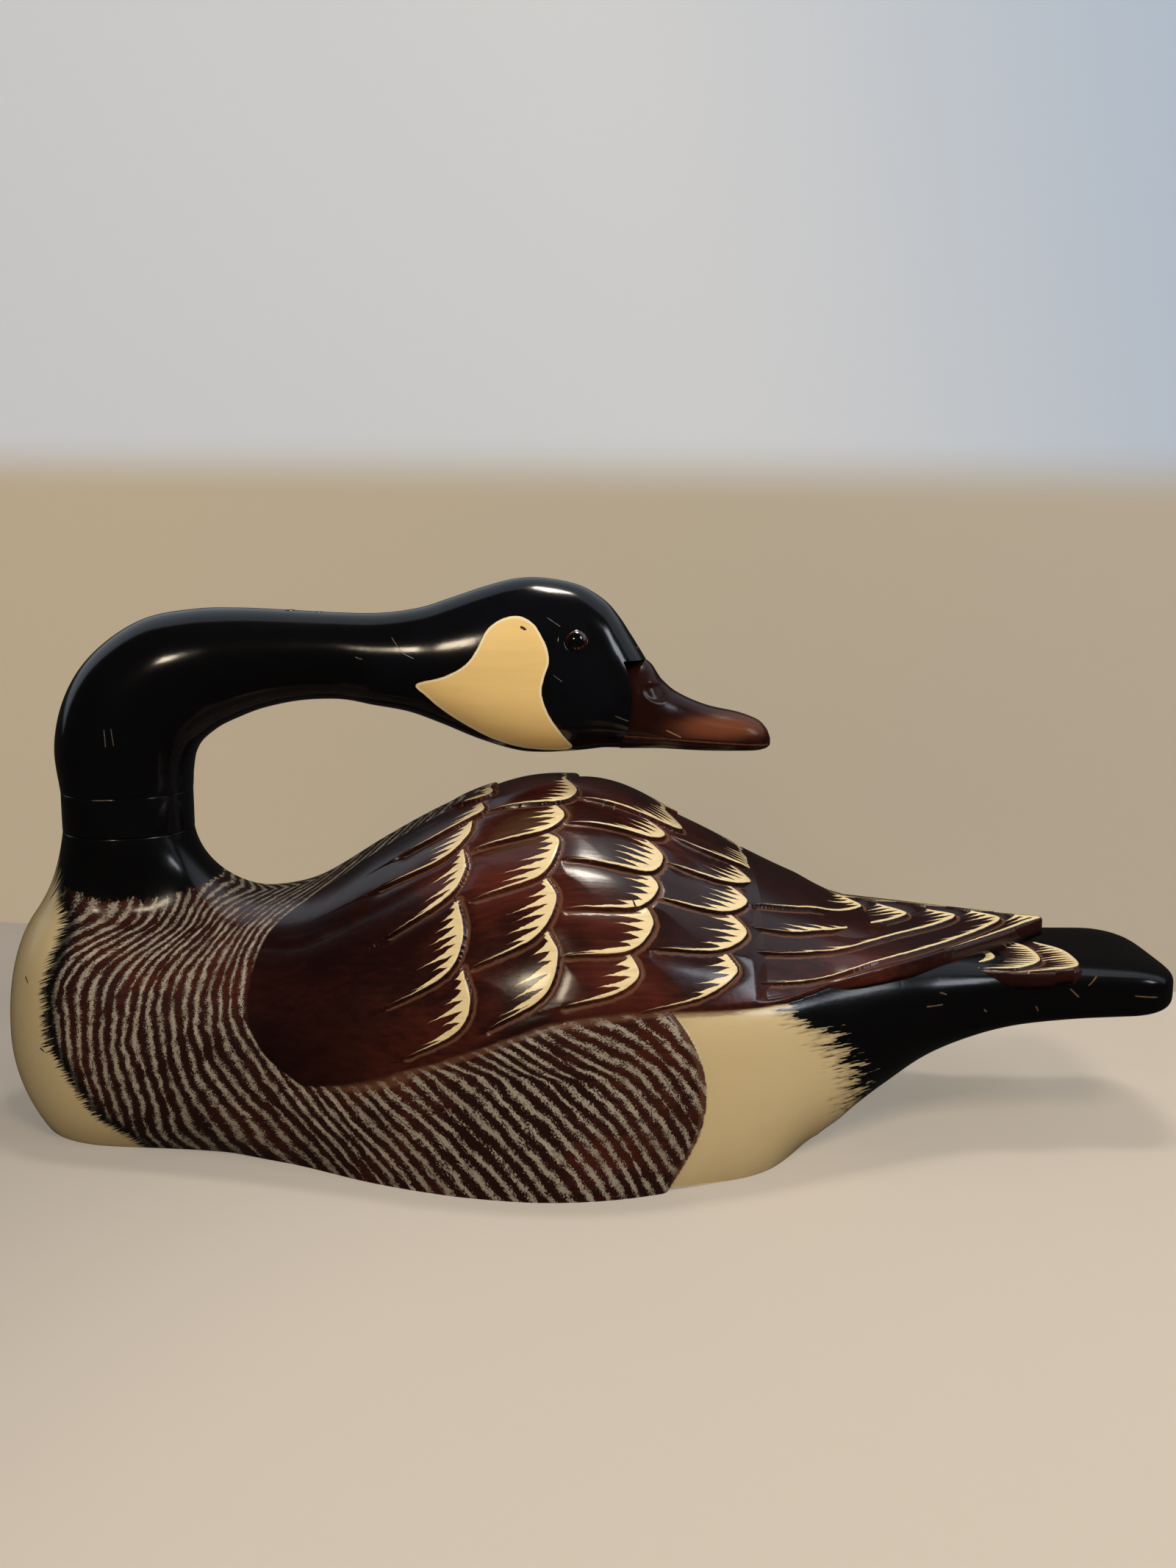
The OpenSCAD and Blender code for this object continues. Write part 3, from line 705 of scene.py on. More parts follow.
def body_paint():
    material = new_material("painted_carving")
    x, z = axis("X"), axis("Z")
    stain, grain = stain_colour()
    shoulder = 1 - x.step(-125.0, -50.0)
    plumage, cream_here, gouge = feather_paint(mix(shoulder * 0.75, stain, (0.0062, 0.0016, 0.0013)))
    wobble = noise(place(), 120.0, 3.0, 0.6)
    across, along = guide("stroke"), guide("along")
    lines = across / 6.1 + noise(packed(across * 0.030, along * 0.020), 1.0, 2.0) * 1.6 + wobble * 0.40
    number = lines.math("FLOOR")
    offset = (lines.math("FRACT") - 0.5).math("ABSOLUTE") * 2.0
    run = along / 105.0 + chance(number) * 3.7 + noise(place(), 20.0) * 0.2
    ends = (run.math("FRACT") - 0.5).math("ABSOLUTE") * 2.0
    swelling = noise(packed(across * 0.12, along * 0.05, number), 1.0, 2.0)
    width = 0.40 * (1 - ends.math("POWER", 6.0)) + swelling * 0.5
    crumbs = noise(packed(across * 1.5, along, number), 1.0, 2.0, 0.8)
    dust = noise(packed(across * 0.45, along * 0.18, number), 1.0, 2.0, 0.6)
    chalk = (width - offset + crumbs * 2.2 + dust * 1.1).step(-0.05, 0.18)
    chalk = chalk * (0.30 + (crumbs + dust + 0.10).step(-0.12, 0.16) * 0.70)
    bald = noise(place(), 24.0, 2.0, 0.5, False).step(0.62, 0.78)
    chalk = chalk * (1 - bald * 0.7) * (0.75 + 0.25 * chance(number + 0.5))
    flank = mix(chalk, mix(0.2, stain, (0.030, 0.012, 0.009)), stroke_grey)
    hairs = noise(packed(across * 0.055, along), 1.0, 3.0, 0.6)
    breast = guide("breast")
    breast_here = (breast + hairs * 26.0 + 2.0).step(-1.2, 1.2)
    breast_dark = (breast + hairs * 17.0 + 12.0).step(-1.5, 5.0) * 0.9
    tail_hairs = noise(stretched((30, 160, 760), (0, -0.42, 0)), 1.0, 2.0, 0.6)
    tail_here = (guide("tail") + tail_hairs * 52.0 + 1.0).step(-1.5, 1.5)
    tail_soft = (guide("tail") + tail_hairs * 52.0 + 9.0).step(-3.0, 8.0) * 0.45
    rump = mix(noise(place(), 30.0).step(-0.3, 0.5) * 0.35, cream, cream_shade)
    rump = mix(tail_here.either(tail_soft), rump, black_gloss)
    lobe = guide("lobe")
    lobe_here = lobe.step(-0.5, 0.5)
    lobe_line = (1 - (lobe - 2.0 + wobble * 2.0).math("ABSOLUTE").step(0.4, 2.2)) * 0.5
    below = mix(lobe_here, rump, mix(lobe_line, flank, gouge_brown))
    below = mix(breast_dark * lobe_here, below, black_gloss)
    breast_cream = mix(noise(place(), 40.0).step(-0.2, 0.5) * 0.3, cream, cream_shade)
    below = mix(breast_here * lobe_here, below, breast_cream)
    wing_here = guide("wing").step(-0.8, 0.8) * (1 - x.step(186.0, 190.0))
    trench = guide("trench")
    trench_line = (1 - (trench + 0.8 + wobble * 2.4).math("ABSOLUTE").step(0.6, 2.4)) * 0.6
    both = mix(wing_here, below, plumage)
    behind_breast = 1 - (breast + 60.0).step(-30.0, 30.0)
    trench_here = trench_line * x.step(-132.0, -104.0) * (lobe + 34.0).step(-4.0, 6.0) * behind_breast
    both = mix(trench_here, both, gouge_brown)
    sock = guide("sock")
    down = noise(stretched((320, 320, 26)), 1.0, 3.0, 0.65)
    sock_here = (sock + down * 15.0).step(-0.8, 0.8) * (1 - breast_here * (1 - sock.step(16.0, 26.0)))
    colour = mix(sock_here * (1 - wing_here), both, black_gloss)
    chips = marks([(-263, 119, -262, 117), (-61, 135, -60, 134), (23, 136, 24, 134), (175, 82, 178, 81),
                   (168, 76, 176, 76), (243, 80, 247, 76), (252, 82, 256, 86), (226, 71, 227, 69),
                   (199, 71, 200, 70), (275, 77, 286, 76), (-281, 84, -279, 82),
                   (-270, 52, -268, 51)], x, z, 0.45)
    light_wood = (0.11, 0.065, 0.04)
    colour = mix(chips, colour, mix(guide("tail").step(0.0, 30.0), (0.02, 0.01, 0.008), light_wood))
    striped = chalk * lobe_here * (1 - wing_here) * (1 - sock_here) * (1 - breast_here)
    height = (cream_here * 0.45 + striped * 0.35 + grain * 0.25
              + noise(place(), 350.0, 2.0) * 0.15 - gouge * 0.5 - chips * 1.2)
    rough = 0.23 + noise(place(), 45.0) * 0.10 + noise(place(), 500.0) * 0.08 + striped * 0.10
    return finish_material(material, colour, rough, height, 0.22, Coat_Weight=0.22, Coat_Roughness=0.10,
                           Specular_IOR_Level=0.38)


painted_carving = body_paint()


def add_piece(piece, material, body, node):
    """Gives a piece its finish, hangs it on its moving body and lets it stand for its node."""
    if not piece.data.materials:
        piece.data.materials.append(material)
    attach(piece, body)
    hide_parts(node)


add_piece(bottom_plank, painted_carving, "body", "lower_body")

# ---------------------------------------------------------------- middle plank
# The middle plank is glued between the other two. It carries the lower half of the wings and
# runs out into the tail fan.
xs = places_along(nose_x, tail_x, 1.0)
middle_plank = both_skins("middle_plank", xs, turn_at(xs, upper_seam), turn_at(xs, lower_seam), 72)
add_piece(middle_plank, painted_carving, "body", "middle_body")

# ---------------------------------------------------------------- top plank
# The top plank holds the back and the upper wing feathers, carved in low relief, left and
# right, and the stump that the neck turns on, which widens into the breast and the back.
saddle_x = -168.0
neck_x = -237.5
neck_r = 33.2
bore_r = 11.06
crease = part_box("neck_base")[0][2] / MM - 0.2
peg_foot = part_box("neck_peg")[0][2] / MM - 1
behind = np.linspace(0, 200, 801)
back_end = float(np.interp(-upper_seam, -curve(stations, behind, 1), behind))

xs = np.linspace(saddle_x, back_end, 410)
for name, side in (("left_back", -1), ("right_back", 1)):
    back = both_skins(name, xs, np.zeros(len(xs)), turn_at(xs, upper_seam), 215, (side,))
    add_piece(back, painted_carving, "body", "upper_body")


def stump_grid():
    """Blend from the neck's crease out to the block's skin, round one side of the neck."""
    front = np.linspace(nose_x, breast_start, 2000)
    live, _, n, top, mid = section_sizes(front)[:5]
    front_x = float(front[np.argmax(mid + (top - mid) * live ** (1 / n) > upper_seam)])
    rear_turn = np.linspace(0, float(turn_at(np.array([saddle_x]), upper_seam)[0]), 70)
    side_x = saddle_x + (front_x - saddle_x) * np.sin(np.radians(np.linspace(0, 90, 190))) ** 1.15
    bx = np.concatenate([np.full(69, saddle_x), side_x])
    bt = np.concatenate([rear_turn[:-1], turn_at(side_x, upper_seam)])
    bt[-1] = 0
    rim = on_body(bx, bt)
    little = 0.02
    across = on_body(bx, bt + little) - rim
    across[np.linalg.norm(across, axis=-1) < 1e-7] = (0, 1, 0)
    ahead = on_body(bx + little, bt) - rim
    out = np.cross(across, ahead)
    out /= np.linalg.norm(out, axis=-1, keepdims=True)
    out *= np.sign(out[:, 2:3])
    away = rim[:, :2] - (neck_x, 0)
    away /= np.linalg.norm(away, axis=-1, keepdims=True)
    radial = np.c_[away, np.zeros(len(away))]
    leave = radial - out * (out * radial).sum(-1, keepdims=True)
    leave /= np.linalg.norm(leave, axis=-1, keepdims=True)
    top_ring = np.c_[neck_x + neck_r * away[:, 0], neck_r * away[:, 1], np.full(len(away), crease - 0.9)]
    span = np.linalg.norm(rim - top_ring, axis=-1, keepdims=True)
    drop = radial * 0.16 + (0, 0, -1)
    t = (np.linspace(0, 1, 90) ** 0.9)[:, None, None]
    blend = ((2 * t ** 3 - 3 * t ** 2 + 1) * top_ring + (t ** 3 - 2 * t ** 2 + t) * drop * span * 1.05
             + (3 * t ** 2 - 2 * t ** 3) * rim + (t ** 3 - t ** 2) * leave * span * 1.05)
    lips = []
    for r, z in ((0, peg_foot - crease), (bore_r, peg_foot - crease), (bore_r, -0.5), (bore_r + 0.5, 0.0),
                 (neck_r * 0.6, 0.0), (neck_r - 0.8, 0.0), (neck_r - 0.35, -0.06), (neck_r - 0.1, -0.25)):
        lips.append(np.c_[neck_x + r * away[:, 0], r * away[:, 1], np.full(len(away), crease + z)])
    return np.concatenate([np.array(lips), blend])


grid = stump_grid()
rows, columns = grid.shape[:2]
x, turn = chart(grid)
guides = fields(x, turn, grid[..., 2])
guides["wing"] = np.minimum(guides["wing"], -1.0)
points = np.concatenate([grid.reshape(-1, 3), (grid * (1, -1, 1)).reshape(-1, 3)])
f = grid_faces(rows, columns)
stump = make_piece("neck_stump", points, np.concatenate([f, f[:, ::-1] + rows * columns]),
                   {k: np.concatenate([v.reshape(-1), v.reshape(-1)]) for k, v in guides.items()})
add_piece(stump, painted_carving, "body", "upper_body")

# ---------------------------------------------------------------- long rear wing feathers
# Each side's long rear feathers are one thin board laid on the lower back, roof-sloped to the
# side and running out to a point over the tail, with five feathers carved on it.
insert_turn = [(60, 71.9), (70, 71), (80, 69.9), (90, 68.8), (100, 67.3), (110, 65.3), (120, 62.9),
               (130, 60.4), (140, 57.8), (150, 54.3), (160, 50), (170, 45), (241, 30)]
insert_reach = [(60, 138), (100, 109), (110, 101.5), (120, 93.8), (130, 86), (140, 78.3), (150, 70.8),
                (160, 63.5), (170, 56.3), (180, 49.1), (190, 41.7), (200, 34.1), (210, 26.4), (220, 18.4),
                (230, 10.2), (236, 5.2), (241, 1.1)]
insert_width = [(76, 122.9), (90, 112.8), (100, 104.9), (110, 96.4), (120, 88.3), (130, 82.8), (140, 78.3),
                (150, 72.1), (160, 64.7), (180, 50), (200, 34.7), (220, 18.7), (241, 1.1)]
insert_depth = [(76, 2.6), (105, 3.6), (137, 6.5), (165, 9.3), (241, 9.3)]
insert_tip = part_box("left_tertials")[1][0] / MM
rows, columns = 330, 190
insert_front, insert_end = 76, 241
x = np.linspace(insert_front, min(insert_end, insert_tip), rows)[:, None] + np.zeros((1, columns))
s = np.linspace(0, 1, columns)[None, :] + 0 * x
on_skin = on_body(x, s * through(insert_turn, x))
y = s * through(insert_reach, x)
board_top, board_fall, board_roof = 114, math.tan(math.radians(5.6)), math.tan(math.radians(11))
on_board = np.stack([x, y, board_top - (x - 149) * board_fall - y * board_roof], -1)
share = np.clip((x - 112) / 38, 0, 1)
share = (share * share * (3 - 2 * share))[..., None]
sheet = on_skin * (1 - share) + on_board * share
insert_rows = [[
    [(135, -2.5), (145, 7.4), (138, 16.6), (110, 39.9), (95, 50.9), (83, 59)],
    [(155, 2.7), (168, 11.9), (158, 22.8), (138, 35.8), (108, 61.4), (92, 71.4), (83, 75.5)],
    [(181, 4.1), (194, 8.6), (183, 21.8), (155, 41.8), (134, 57.4), (106, 77.3), (90, 87.5), (81, 92.3)],
    [(205, 0.3), (218, 6.8), (206, 22.1), (180, 45.1), (150, 67.4), (126, 81.4), (102, 98.4), (78, 112.6)],
    [(228, -0.5), (241, 1.0), (228, 11.9), (203, 32), (179, 50.9)]]]


def lay_down(sheet, f, sink):
    """Carves the feathers' relief into a smooth sheet, let down by a depth."""
    out = skin_normals(sheet)
    out[..., 2] = np.abs(out[..., 2])
    return sheet + out * (relief(f) - sink)[..., None]


def board(name, top, guides, depth, side):
    """A thin carved board: the relief on top, a rounded lip, an outer wall and a turned-in foot."""
    lip = top[:, -1]
    ahead = np.gradient(lip, axis=0)
    outward = np.c_[-ahead[:, 1], ahead[:, 0], np.zeros(len(lip))]
    outward /= np.linalg.norm(outward, axis=-1, keepdims=True) + 1e-9
    wall = []
    for out, share, down in ((0.45, 0, 0.35), (0.7, 0, 1.1), (0.7, 0.5, 0.5), (0.5, 1, 0), (-0.6, 1, 0),
                             (-5.0, 1, 0)):
        at = lip + outward * out
        at[:, 2] = lip[:, 2] - share * depth - down
        at[:, 1] = np.maximum(at[:, 1], 0)
        wall.append(at)
    grid = np.concatenate([top, np.array(wall).transpose(1, 0, 2)], 1)
    end = grid[-1:].copy()
    end[..., 2] -= np.minimum(depth[-1], np.maximum(end[..., 2] - (lip[-1, 2] - depth[-1]), 0))
    grid = np.concatenate([grid, end], 0)
    extra = len(wall)
    filled = {}
    for key, values in guides.items():
        beyond = far_away if key in ("edge", "depth", "ahead", "gap", "rim") else 0.0
        wider = np.pad(values, ((0, 0), (0, extra)), constant_values=beyond)
        filled[key] = np.pad(wider, ((0, 1), (0, 0)), "edge")
    faces = grid_faces(*grid.shape[:2])
    return make_piece(name, (grid * (1, side, 1)).reshape(-1, 3), faces if side > 0 else faces[:, ::-1],
                      {k: v.reshape(-1) for k, v in filled.items()})


def wing_stain():
    material = new_material("stained_wing_board")
    stain, grain = stain_colour()
    plumage, cream_here, gouge = feather_paint(stain)
    height = cream_here * 0.45 + grain * 0.25 + noise(place(), 350.0, 2.0) * 0.15 - gouge * 0.5
    rough = 0.30 + noise(place(), 45.0) * 0.10 + noise(place(), 500.0) * 0.08
    return finish_material(material, plumage, rough, height, 0.22, Coat_Weight=0.22, Coat_Roughness=0.10,
                           Specular_IOR_Level=0.38)


stained_board = wing_stain()
v = s * through(insert_width, x)
f = lay_feathers(insert_rows, x, v, 1.0, x > 0, 3.4, 0.55)
sink = 2.2 * np.clip((86 - x) / 10, 0, 1)
top = lay_down(sheet, f, sink)
for name, side, node in (("left_long_feathers", -1, "left_tertials"),
                         ("right_long_feathers", 1, "right_tertials")):
    long_feathers = board(name, top, f, through(insert_depth, x[:, 0]), side)
    add_piece(long_feathers, stained_board, "body", node)

# ---------------------------------------------------------------- wing tip feathers
# A smaller board of the same wood is glued under the long feathers on each side, with three
# feather tips carved on it.
tip_outer = [(150, 46), (181, 42), (193, 46.1), (211, 51.2), (230, 51.1), (244, 48.4), (248.6, 45), (249, 42)]
tip_inner = [(150, 20), (200, 20), (219, 9), (227, 9.5), (237, 15), (244, 22.5), (248, 31), (249, 41)]
tip_rows = [[[(196, 21.6), (206, 24.6), (209, 34.2), (202, 41), (191, 43.2), (178, 41)]],
            [[(219, 10), (229, 20), (231, 37.5), (222, 46.5), (212, 49.5), (199, 47)]],
            [[(236, 13), (246, 23.7), (249, 41), (244, 48.4), (230, 51), (212, 51)]]]
rows, columns = 190, 90
tip_start, tip_end = 150, 249
x = tip_start + (tip_end - tip_start) * np.sin(np.radians(np.linspace(0, 90, rows)))
x = x[:, None] + np.zeros((1, columns))
s = np.linspace(0, 1, columns)[None, :] + 0 * x
y = through(tip_inner, x) * (1 - s) + through(tip_outer, x) * s
tip_top, tip_roof = 94.2, 0.11
sheet = np.stack([x, y, tip_top + tip_roof * (20 - y)], -1)
f = lay_feathers(tip_rows, x, y, 1.0, x > 0, 3.0, 0.55)
top = lay_down(sheet, f, 0.15)
tip_depth = 6.6
for name, side, node in (("left_wing_tip", -1, "left_primaries"), ("right_wing_tip", 1, "right_primaries")):
    add_piece(board(name, top, f, np.full(rows, tip_depth), side), stained_board, "body", node)

# ---------------------------------------------------------------- neck
# The neck rises from its joint and bends back over the body. It is lapped to the head halfway
# along, with the top of the neck let into the underside of the head's tail.

# One row a ring: distance behind the neck's axis, height above the underside of the head,
# tilt, half height, half width, drop of the widest point, squareness.
neck_rows = np.array([
    [0, -19.8, 90, 33.2, 33.2, 0, 2], [-0.5, -2.5, 78, 35.4, 33.5, 0, 2], [3.7, 14.5, 64, 35.8, 33, 0, 2],
    [13.2, 28.5, 50, 35.2, 32, 0, 2], [30, 40.3, 34, 33.4, 30.5, 0, 2], [49.5, 46, 23, 29.8, 28, 0, 2],
    [67.5, 48.7, 16, 26.4, 25, 0, 2], [89.5, 49.8, 7, 23.3, 22.6, 0, 2], [112.5, 49.4, 0, 22.2, 21.5, 0, 2],
    [131.5, 47.8, -5, 23.7, 22.5, 1, 2], [150.5, 47.4, -6, 26.8, 24, 3, 2],
    [167, 46.8, -4, 32.3, 26.5, 6, 2.05], [184.5, 45.8, -2, 38.8, 28.5, 9, 2.1],
    [202.3, 45, 0, 43.8, 29.5, 11, 2.1], [217, 44.6, 0, 44.6, 29.3, 12, 2.1],
    [234.5, 43.3, 0, 42.4, 27.8, 12, 2.1], [247, 40.5, 0, 38.2, 25.8, 11, 2.15],
    [254.5, 36.6, 0, 34.3, 24.4, 10, 2.2], [262, 31, 0, 28.7, 22.8, 8, 2.2],
    [270.5, 24.2, 0, 21.7, 20.5, 5, 2.2]])
neck_table = np.c_[np.arange(len(neck_rows)), neck_rows]
head_floor = 193.0
eye_x, eye_z = ((np.array(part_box("left_eye")[0]) + np.array(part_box("left_eye")[1])) / 2 / MM)[[0, 2]]


def neck_skin(t, a):
    """Point of the neck and head at a ring number and an angle, 0 at the right side, 90 on top."""
    r0, r1, tilt, high, wide, drop, n = (curve(neck_table, t, k) for k in range(1, 8))
    a, tilt = np.radians(a), np.radians(tilt)
    up = np.sign(np.sin(a))
    v = up * np.abs(np.sin(a)) ** (2 / n) * (high + up * drop) - drop
    y = np.sign(np.cos(a)) * np.abs(np.cos(a)) ** (2 / n) * wide
    dent = 1.2 * np.exp(-((neck_x + r0 - eye_x) ** 2 + (head_floor + r1 + v - eye_z) ** 2) / 64)
    y = y - np.sign(y) * dent * (t > 12)
    return np.stack([neck_x + r0 - v * np.sin(tilt), y, head_floor + r1 + v * np.cos(tilt)], -1)


cheek_outline = [(-84, 230), (-70, 234), (-59, 240), (-53, 248), (-49, 256), (-43, 261.5), (-34, 264),
                 (-26, 261), (-21, 254), (-18, 247), (-17.5, 241), (-20, 233), (-21, 225), (-17, 214),
                 (-10.5, 204), (-6, 197.5), (-12, 195), (-30, 196.5), (-45, 201), (-58, 208), (-70, 216),
                 (-79, 224)]
no_cheek = -60.0


def inside_distance(px, pz, outline):
    """Distance inside a smooth closed outline, negative outside it."""
    p = np.array(outline, float)
    line = []
    for i in range(len(p)):
        for t in np.linspace(0, 1, 6)[:-1]:
            line.append(rounded(p[i - 1], p[i], p[(i + 1) % len(p)], p[(i + 2) % len(p)], t))
    line = np.array(line)
    best, inside = np.full(px.shape, 1e9), np.zeros(px.shape, bool)
    for a, b in zip(line, np.roll(line, -1, axis=0)):
        step = b - a
        q = np.clip(((px - a[0]) * step[0] + (pz - a[1]) * step[1]) / (step @ step), 0, 1)
        best = np.minimum(best, (px - a[0] - q * step[0]) ** 2 + (pz - a[1] - q * step[1]) ** 2)
        if a[1] != b[1]:
            crosses = (a[1] > pz) != (b[1] > pz)
            inside ^= crosses & (px < a[0] + (pz - a[1]) * step[0] / step[1])
    return np.where(inside, 1, -1) * np.sqrt(best)


face_x = 24.0
brow_z = 241.3


def bill_base(z):
    """Where the black paint gives way to the bill, bowed forward in the middle."""
    return face_x - 5.0 * np.clip(np.abs(z - 221) / 21, 0, 1) ** 2.2


last_ring = len(neck_rows) - 1
columns = 192
angles = np.arange(columns) * 360 / columns
ends = []
for a in angles:
    t = np.linspace(last_ring - 4, last_ring, 1200)
    p = neck_skin(t, np.full(t.shape, a))
    stop = (p[:, 2] <= brow_z) & (p[:, 0] >= bill_base(p[:, 2]))
    ends.append(t[np.argmax(stop)] if stop.any() else last_ring)
ends = np.array(ends)
base_rows = np.linspace(0.015, last_ring - 4, 290)
front_rows = np.linspace(0, 1, 70)[1:]
t = np.concatenate([np.repeat(base_rows[:, None], columns, 1),
                    (last_ring - 4) + front_rows[:, None] * (ends - last_ring + 4)[None, :]])
grid = neck_skin(t, angles[None, :] + 0 * t)
normals = skin_normals(np.concatenate([grid[:, -1:], grid, grid[:, :1]], 1))[:, 1:-1]
if normals[100, columns // 4, 2] < 0:
    normals = -normals
cheek = inside_distance(grid[..., 0], grid[..., 2], cheek_outline)
upper_lap_x, lower_lap_x = -163.5, -123.5
lap = [int(np.argmin(np.abs(neck_x + curve(neck_table, base_rows, 1) - x)))
       for x in (upper_lap_x, lower_lap_x)]
is_upper = (np.arange(columns) < columns // 2)


def round_faces(rows, columns):
    i, j = np.meshgrid(np.arange(rows - 1), np.arange(columns), indexing="ij")
    return i, j, np.stack([i * columns + j, i * columns + (j + 1) % columns,
                           (i + 1) * columns + (j + 1) % columns, (i + 1) * columns + j], -1)


i, j, faces = round_faces(len(grid), columns)
in_neck = np.where(is_upper[j], i < lap[0], i < lap[1])


def lapped(name, keep, rings, flip):
    """The part of the neck's skin on one side of the lap joint, with its joint faces closed."""
    points, facets = [grid.reshape(-1, 3)], [faces[keep]]
    guides, turned = [cheek.reshape(-1)], [normals.reshape(-1, 3)]
    count = grid.shape[0] * columns
    shift = 0.01 if flip else -0.01
    for row, first, last in ((lap[0], 0, columns // 2), (lap[1], columns // 2, columns)):
        arc = grid[row, np.arange(first, last + 1) % columns] + (shift, 0, 0)
        middle = 0.5 * (arc[0] + arc[-1])
        cap = np.concatenate([arc, [middle]])
        k = np.arange(len(arc) - 1) + count
        hub = np.full(len(k), count + len(arc))
        facet = np.stack([k, k + 1, hub, hub], -1)
        facets.append(facet if flip else facet[:, ::-1])
        points.append(cap)
        guides.append(np.full(len(cap), no_cheek))
        turned.append(np.tile((-1.0 if flip else 1.0, 0, 0), (len(cap), 1)))
        count += len(cap)
    span = np.arange(lap[0], lap[1] + 1)
    shelf = np.concatenate([grid[span, 0], grid[span, columns // 2]]) + (0, 0, shift)
    k = np.arange(len(span) - 1) + count
    facet = np.stack([k, k + 1, k + 1 + len(span), k + len(span)], -1)
    facets.append(facet[:, ::-1] if flip else facet)
    points.append(shelf)
    guides.append(np.full(len(shelf), no_cheek))
    turned.append(np.tile((0, 0, -1.0 if flip else 1.0), (len(shelf), 1)))
    count += len(shelf)
    for ring, cheek_there, normal in rings(count):
        points.append(ring)
        guides.append(cheek_there)
        turned.append(normal)
    facets.append(rings.facets)
    used, where = np.unique(np.concatenate([f.reshape(-1) for f in facets]), return_inverse=True)
    all_faces = where.reshape(-1, 4)
    return make_piece(name, np.concatenate(points)[used], all_faces,
                      {"cheek": np.concatenate(guides)[used]}, np.concatenate(turned)[used])


class NeckFoot:
    """Underside of the neck, with the bore that the peg runs in."""
    facets = None

    def __call__(self, start):
        bore_top, foot = 199.0, 173.3
        profile = [(0, bore_top), (bore_r, bore_top), (bore_r, foot), (neck_r - 0.2, foot - 0.05),
                   (neck_r - 0.05, foot)]
        rings = np.array([[(neck_x - r * math.sin(math.radians(a)), r * math.cos(math.radians(a)), z)
                           for a in angles] for r, z in profile])
        f = round_faces(len(profile), columns)[2].reshape(-1, 4) + start
        last = start + (len(profile) - 1) * columns + np.arange(columns)
        join = np.stack([last, np.roll(last, -1), np.roll(np.arange(columns), -1), np.arange(columns)], -1)
        self.facets = np.concatenate([f, join])
        down = np.tile((0, 0, -1.0), (rings.shape[0] * columns, 1))
        return [(rings.reshape(-1, 3), np.full(rings.shape[0] * columns, no_cheek), down)]


def black_paint():
    material = new_material("black_gloss_paint")
    x, z = axis("X"), axis("Z")
    cheek_here = (guide("cheek") + noise(place(), 300.0, 2.0) * 0.5).step(-0.15, 0.15)
    brush = noise(stretched((18, 90, 220)), 1.0, 3.0, 0.6)
    tint = noise(place(), 22.0, 2.0, 0.5, False).step(0.45, 0.75)
    black = mix(tint * 0.4, black_gloss, (0.0045, 0.0055, 0.011))
    patch = mix((brush + 0.5).step(0.3, 0.9) * 0.35, (0.86, 0.62, 0.26), (0.70, 0.49, 0.20))
    # Painted highlight: a lighter line just inside the edge of each cheek patch, on its raised rim.
    patch = mix(1 - (guide("cheek") - 0.7).math("ABSOLUTE").step(0.1, 0.7), patch, (0.88, 0.80, 0.62))
    colour = mix(cheek_here, black, patch)
    scratches = marks([(-238, 208, -237.5, 200), (-234.5, 208.5, -233.5, 200.5), (-96, 253, -91, 246),
                       (-91, 246, -85, 243), (16, 214, 22, 211.5),
                       (-15, 235, -11, 232), (-18, 263, -12, 259), (-246, 172.6, -236, 172.9),
                       (27, 247, 28, 251), (-114, 243.5, -111, 242.5)], x, z, 0.28)
    nick = marks([(-31, 258.5, -29, 257.5)], x, z, 0.7)
    colour = mix(scratches * (1 - cheek_here) * 0.6, colour, (0.17, 0.145, 0.12))
    colour = mix(nick * cheek_here, colour, (0.02, 0.012, 0.01))
    height = cheek_here * 0.6 + brush * 0.2 * cheek_here + noise(place(), 420.0, 2.0) * 0.10 - scratches * 0.6
    rough = 0.15 + noise(place(), 60.0) * 0.05 + noise(place(), 600.0) * 0.04 + cheek_here * 0.27
    return finish_material(material, colour, rough, height, 0.2, Coat_Weight=0.22, Coat_Roughness=0.10,
                           Specular_IOR_Level=0.36)


glossy_black = black_paint()
neck = lapped("neck", in_neck, NeckFoot(), False)
add_piece(neck, glossy_black, "head", "neck")


def turned_piece(name, profile, centre, count=96, up="z", black=False):
    """A piece turned on the lathe from (radius, height) pairs, closed at both ends."""
    profile = np.array(profile, float)
    a = np.arange(count) * 2 * math.pi / count
    ring = np.stack([profile[:, :1] * np.cos(a), profile[:, :1] * np.sin(a), profile[:, 1:] + 0 * a], -1)
    if up == "y":
        ring = ring[..., [0, 2, 1]]
    faces = round_faces(len(profile), count)[2].reshape(-1, 4)
    rising = (profile[-1, 1] > profile[0, 1]) != (up == "y")
    guides = {"cheek": np.full(len(profile) * count, no_cheek)} if black else {}
    return make_piece(name, (ring + centre).reshape(-1, 3), faces if rising else faces[:, ::-1], guides)


# ---------------------------------------------------------------- neck joint disc
# A disc turned from the neck's wood, glued under the neck and painted with it. Its lower edge
# is the crease that the neck turns on.
disc_low, disc_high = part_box("neck_base")[0][2] / MM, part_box("neck_base")[1][2] / MM
disc = turned_piece("neck_joint_disc", [
    (bore_r, disc_high), (bore_r, disc_low + 0.4), (bore_r + 0.4, disc_low), (neck_r - 0.5, disc_low),
    (neck_r - 0.2, disc_low + 0.1), (neck_r - 0.05, disc_low + 0.3), (neck_r, disc_low + 0.7),
    (neck_r + 0.02, disc_low + 10), (neck_r, disc_high - 0.5), (neck_r - 0.12, disc_high - 0.06),
    (neck_r - 0.3, disc_high), (bore_r, disc_high)], (neck_x, 0, 0), 192, black=True)
add_piece(disc, glossy_black, "head", "neck_base")

# ---------------------------------------------------------------- head
# The head is a block of its own, lapped and glued to the neck. It has a brow over the bill,
# dents round the eyes and cream cheek patches.


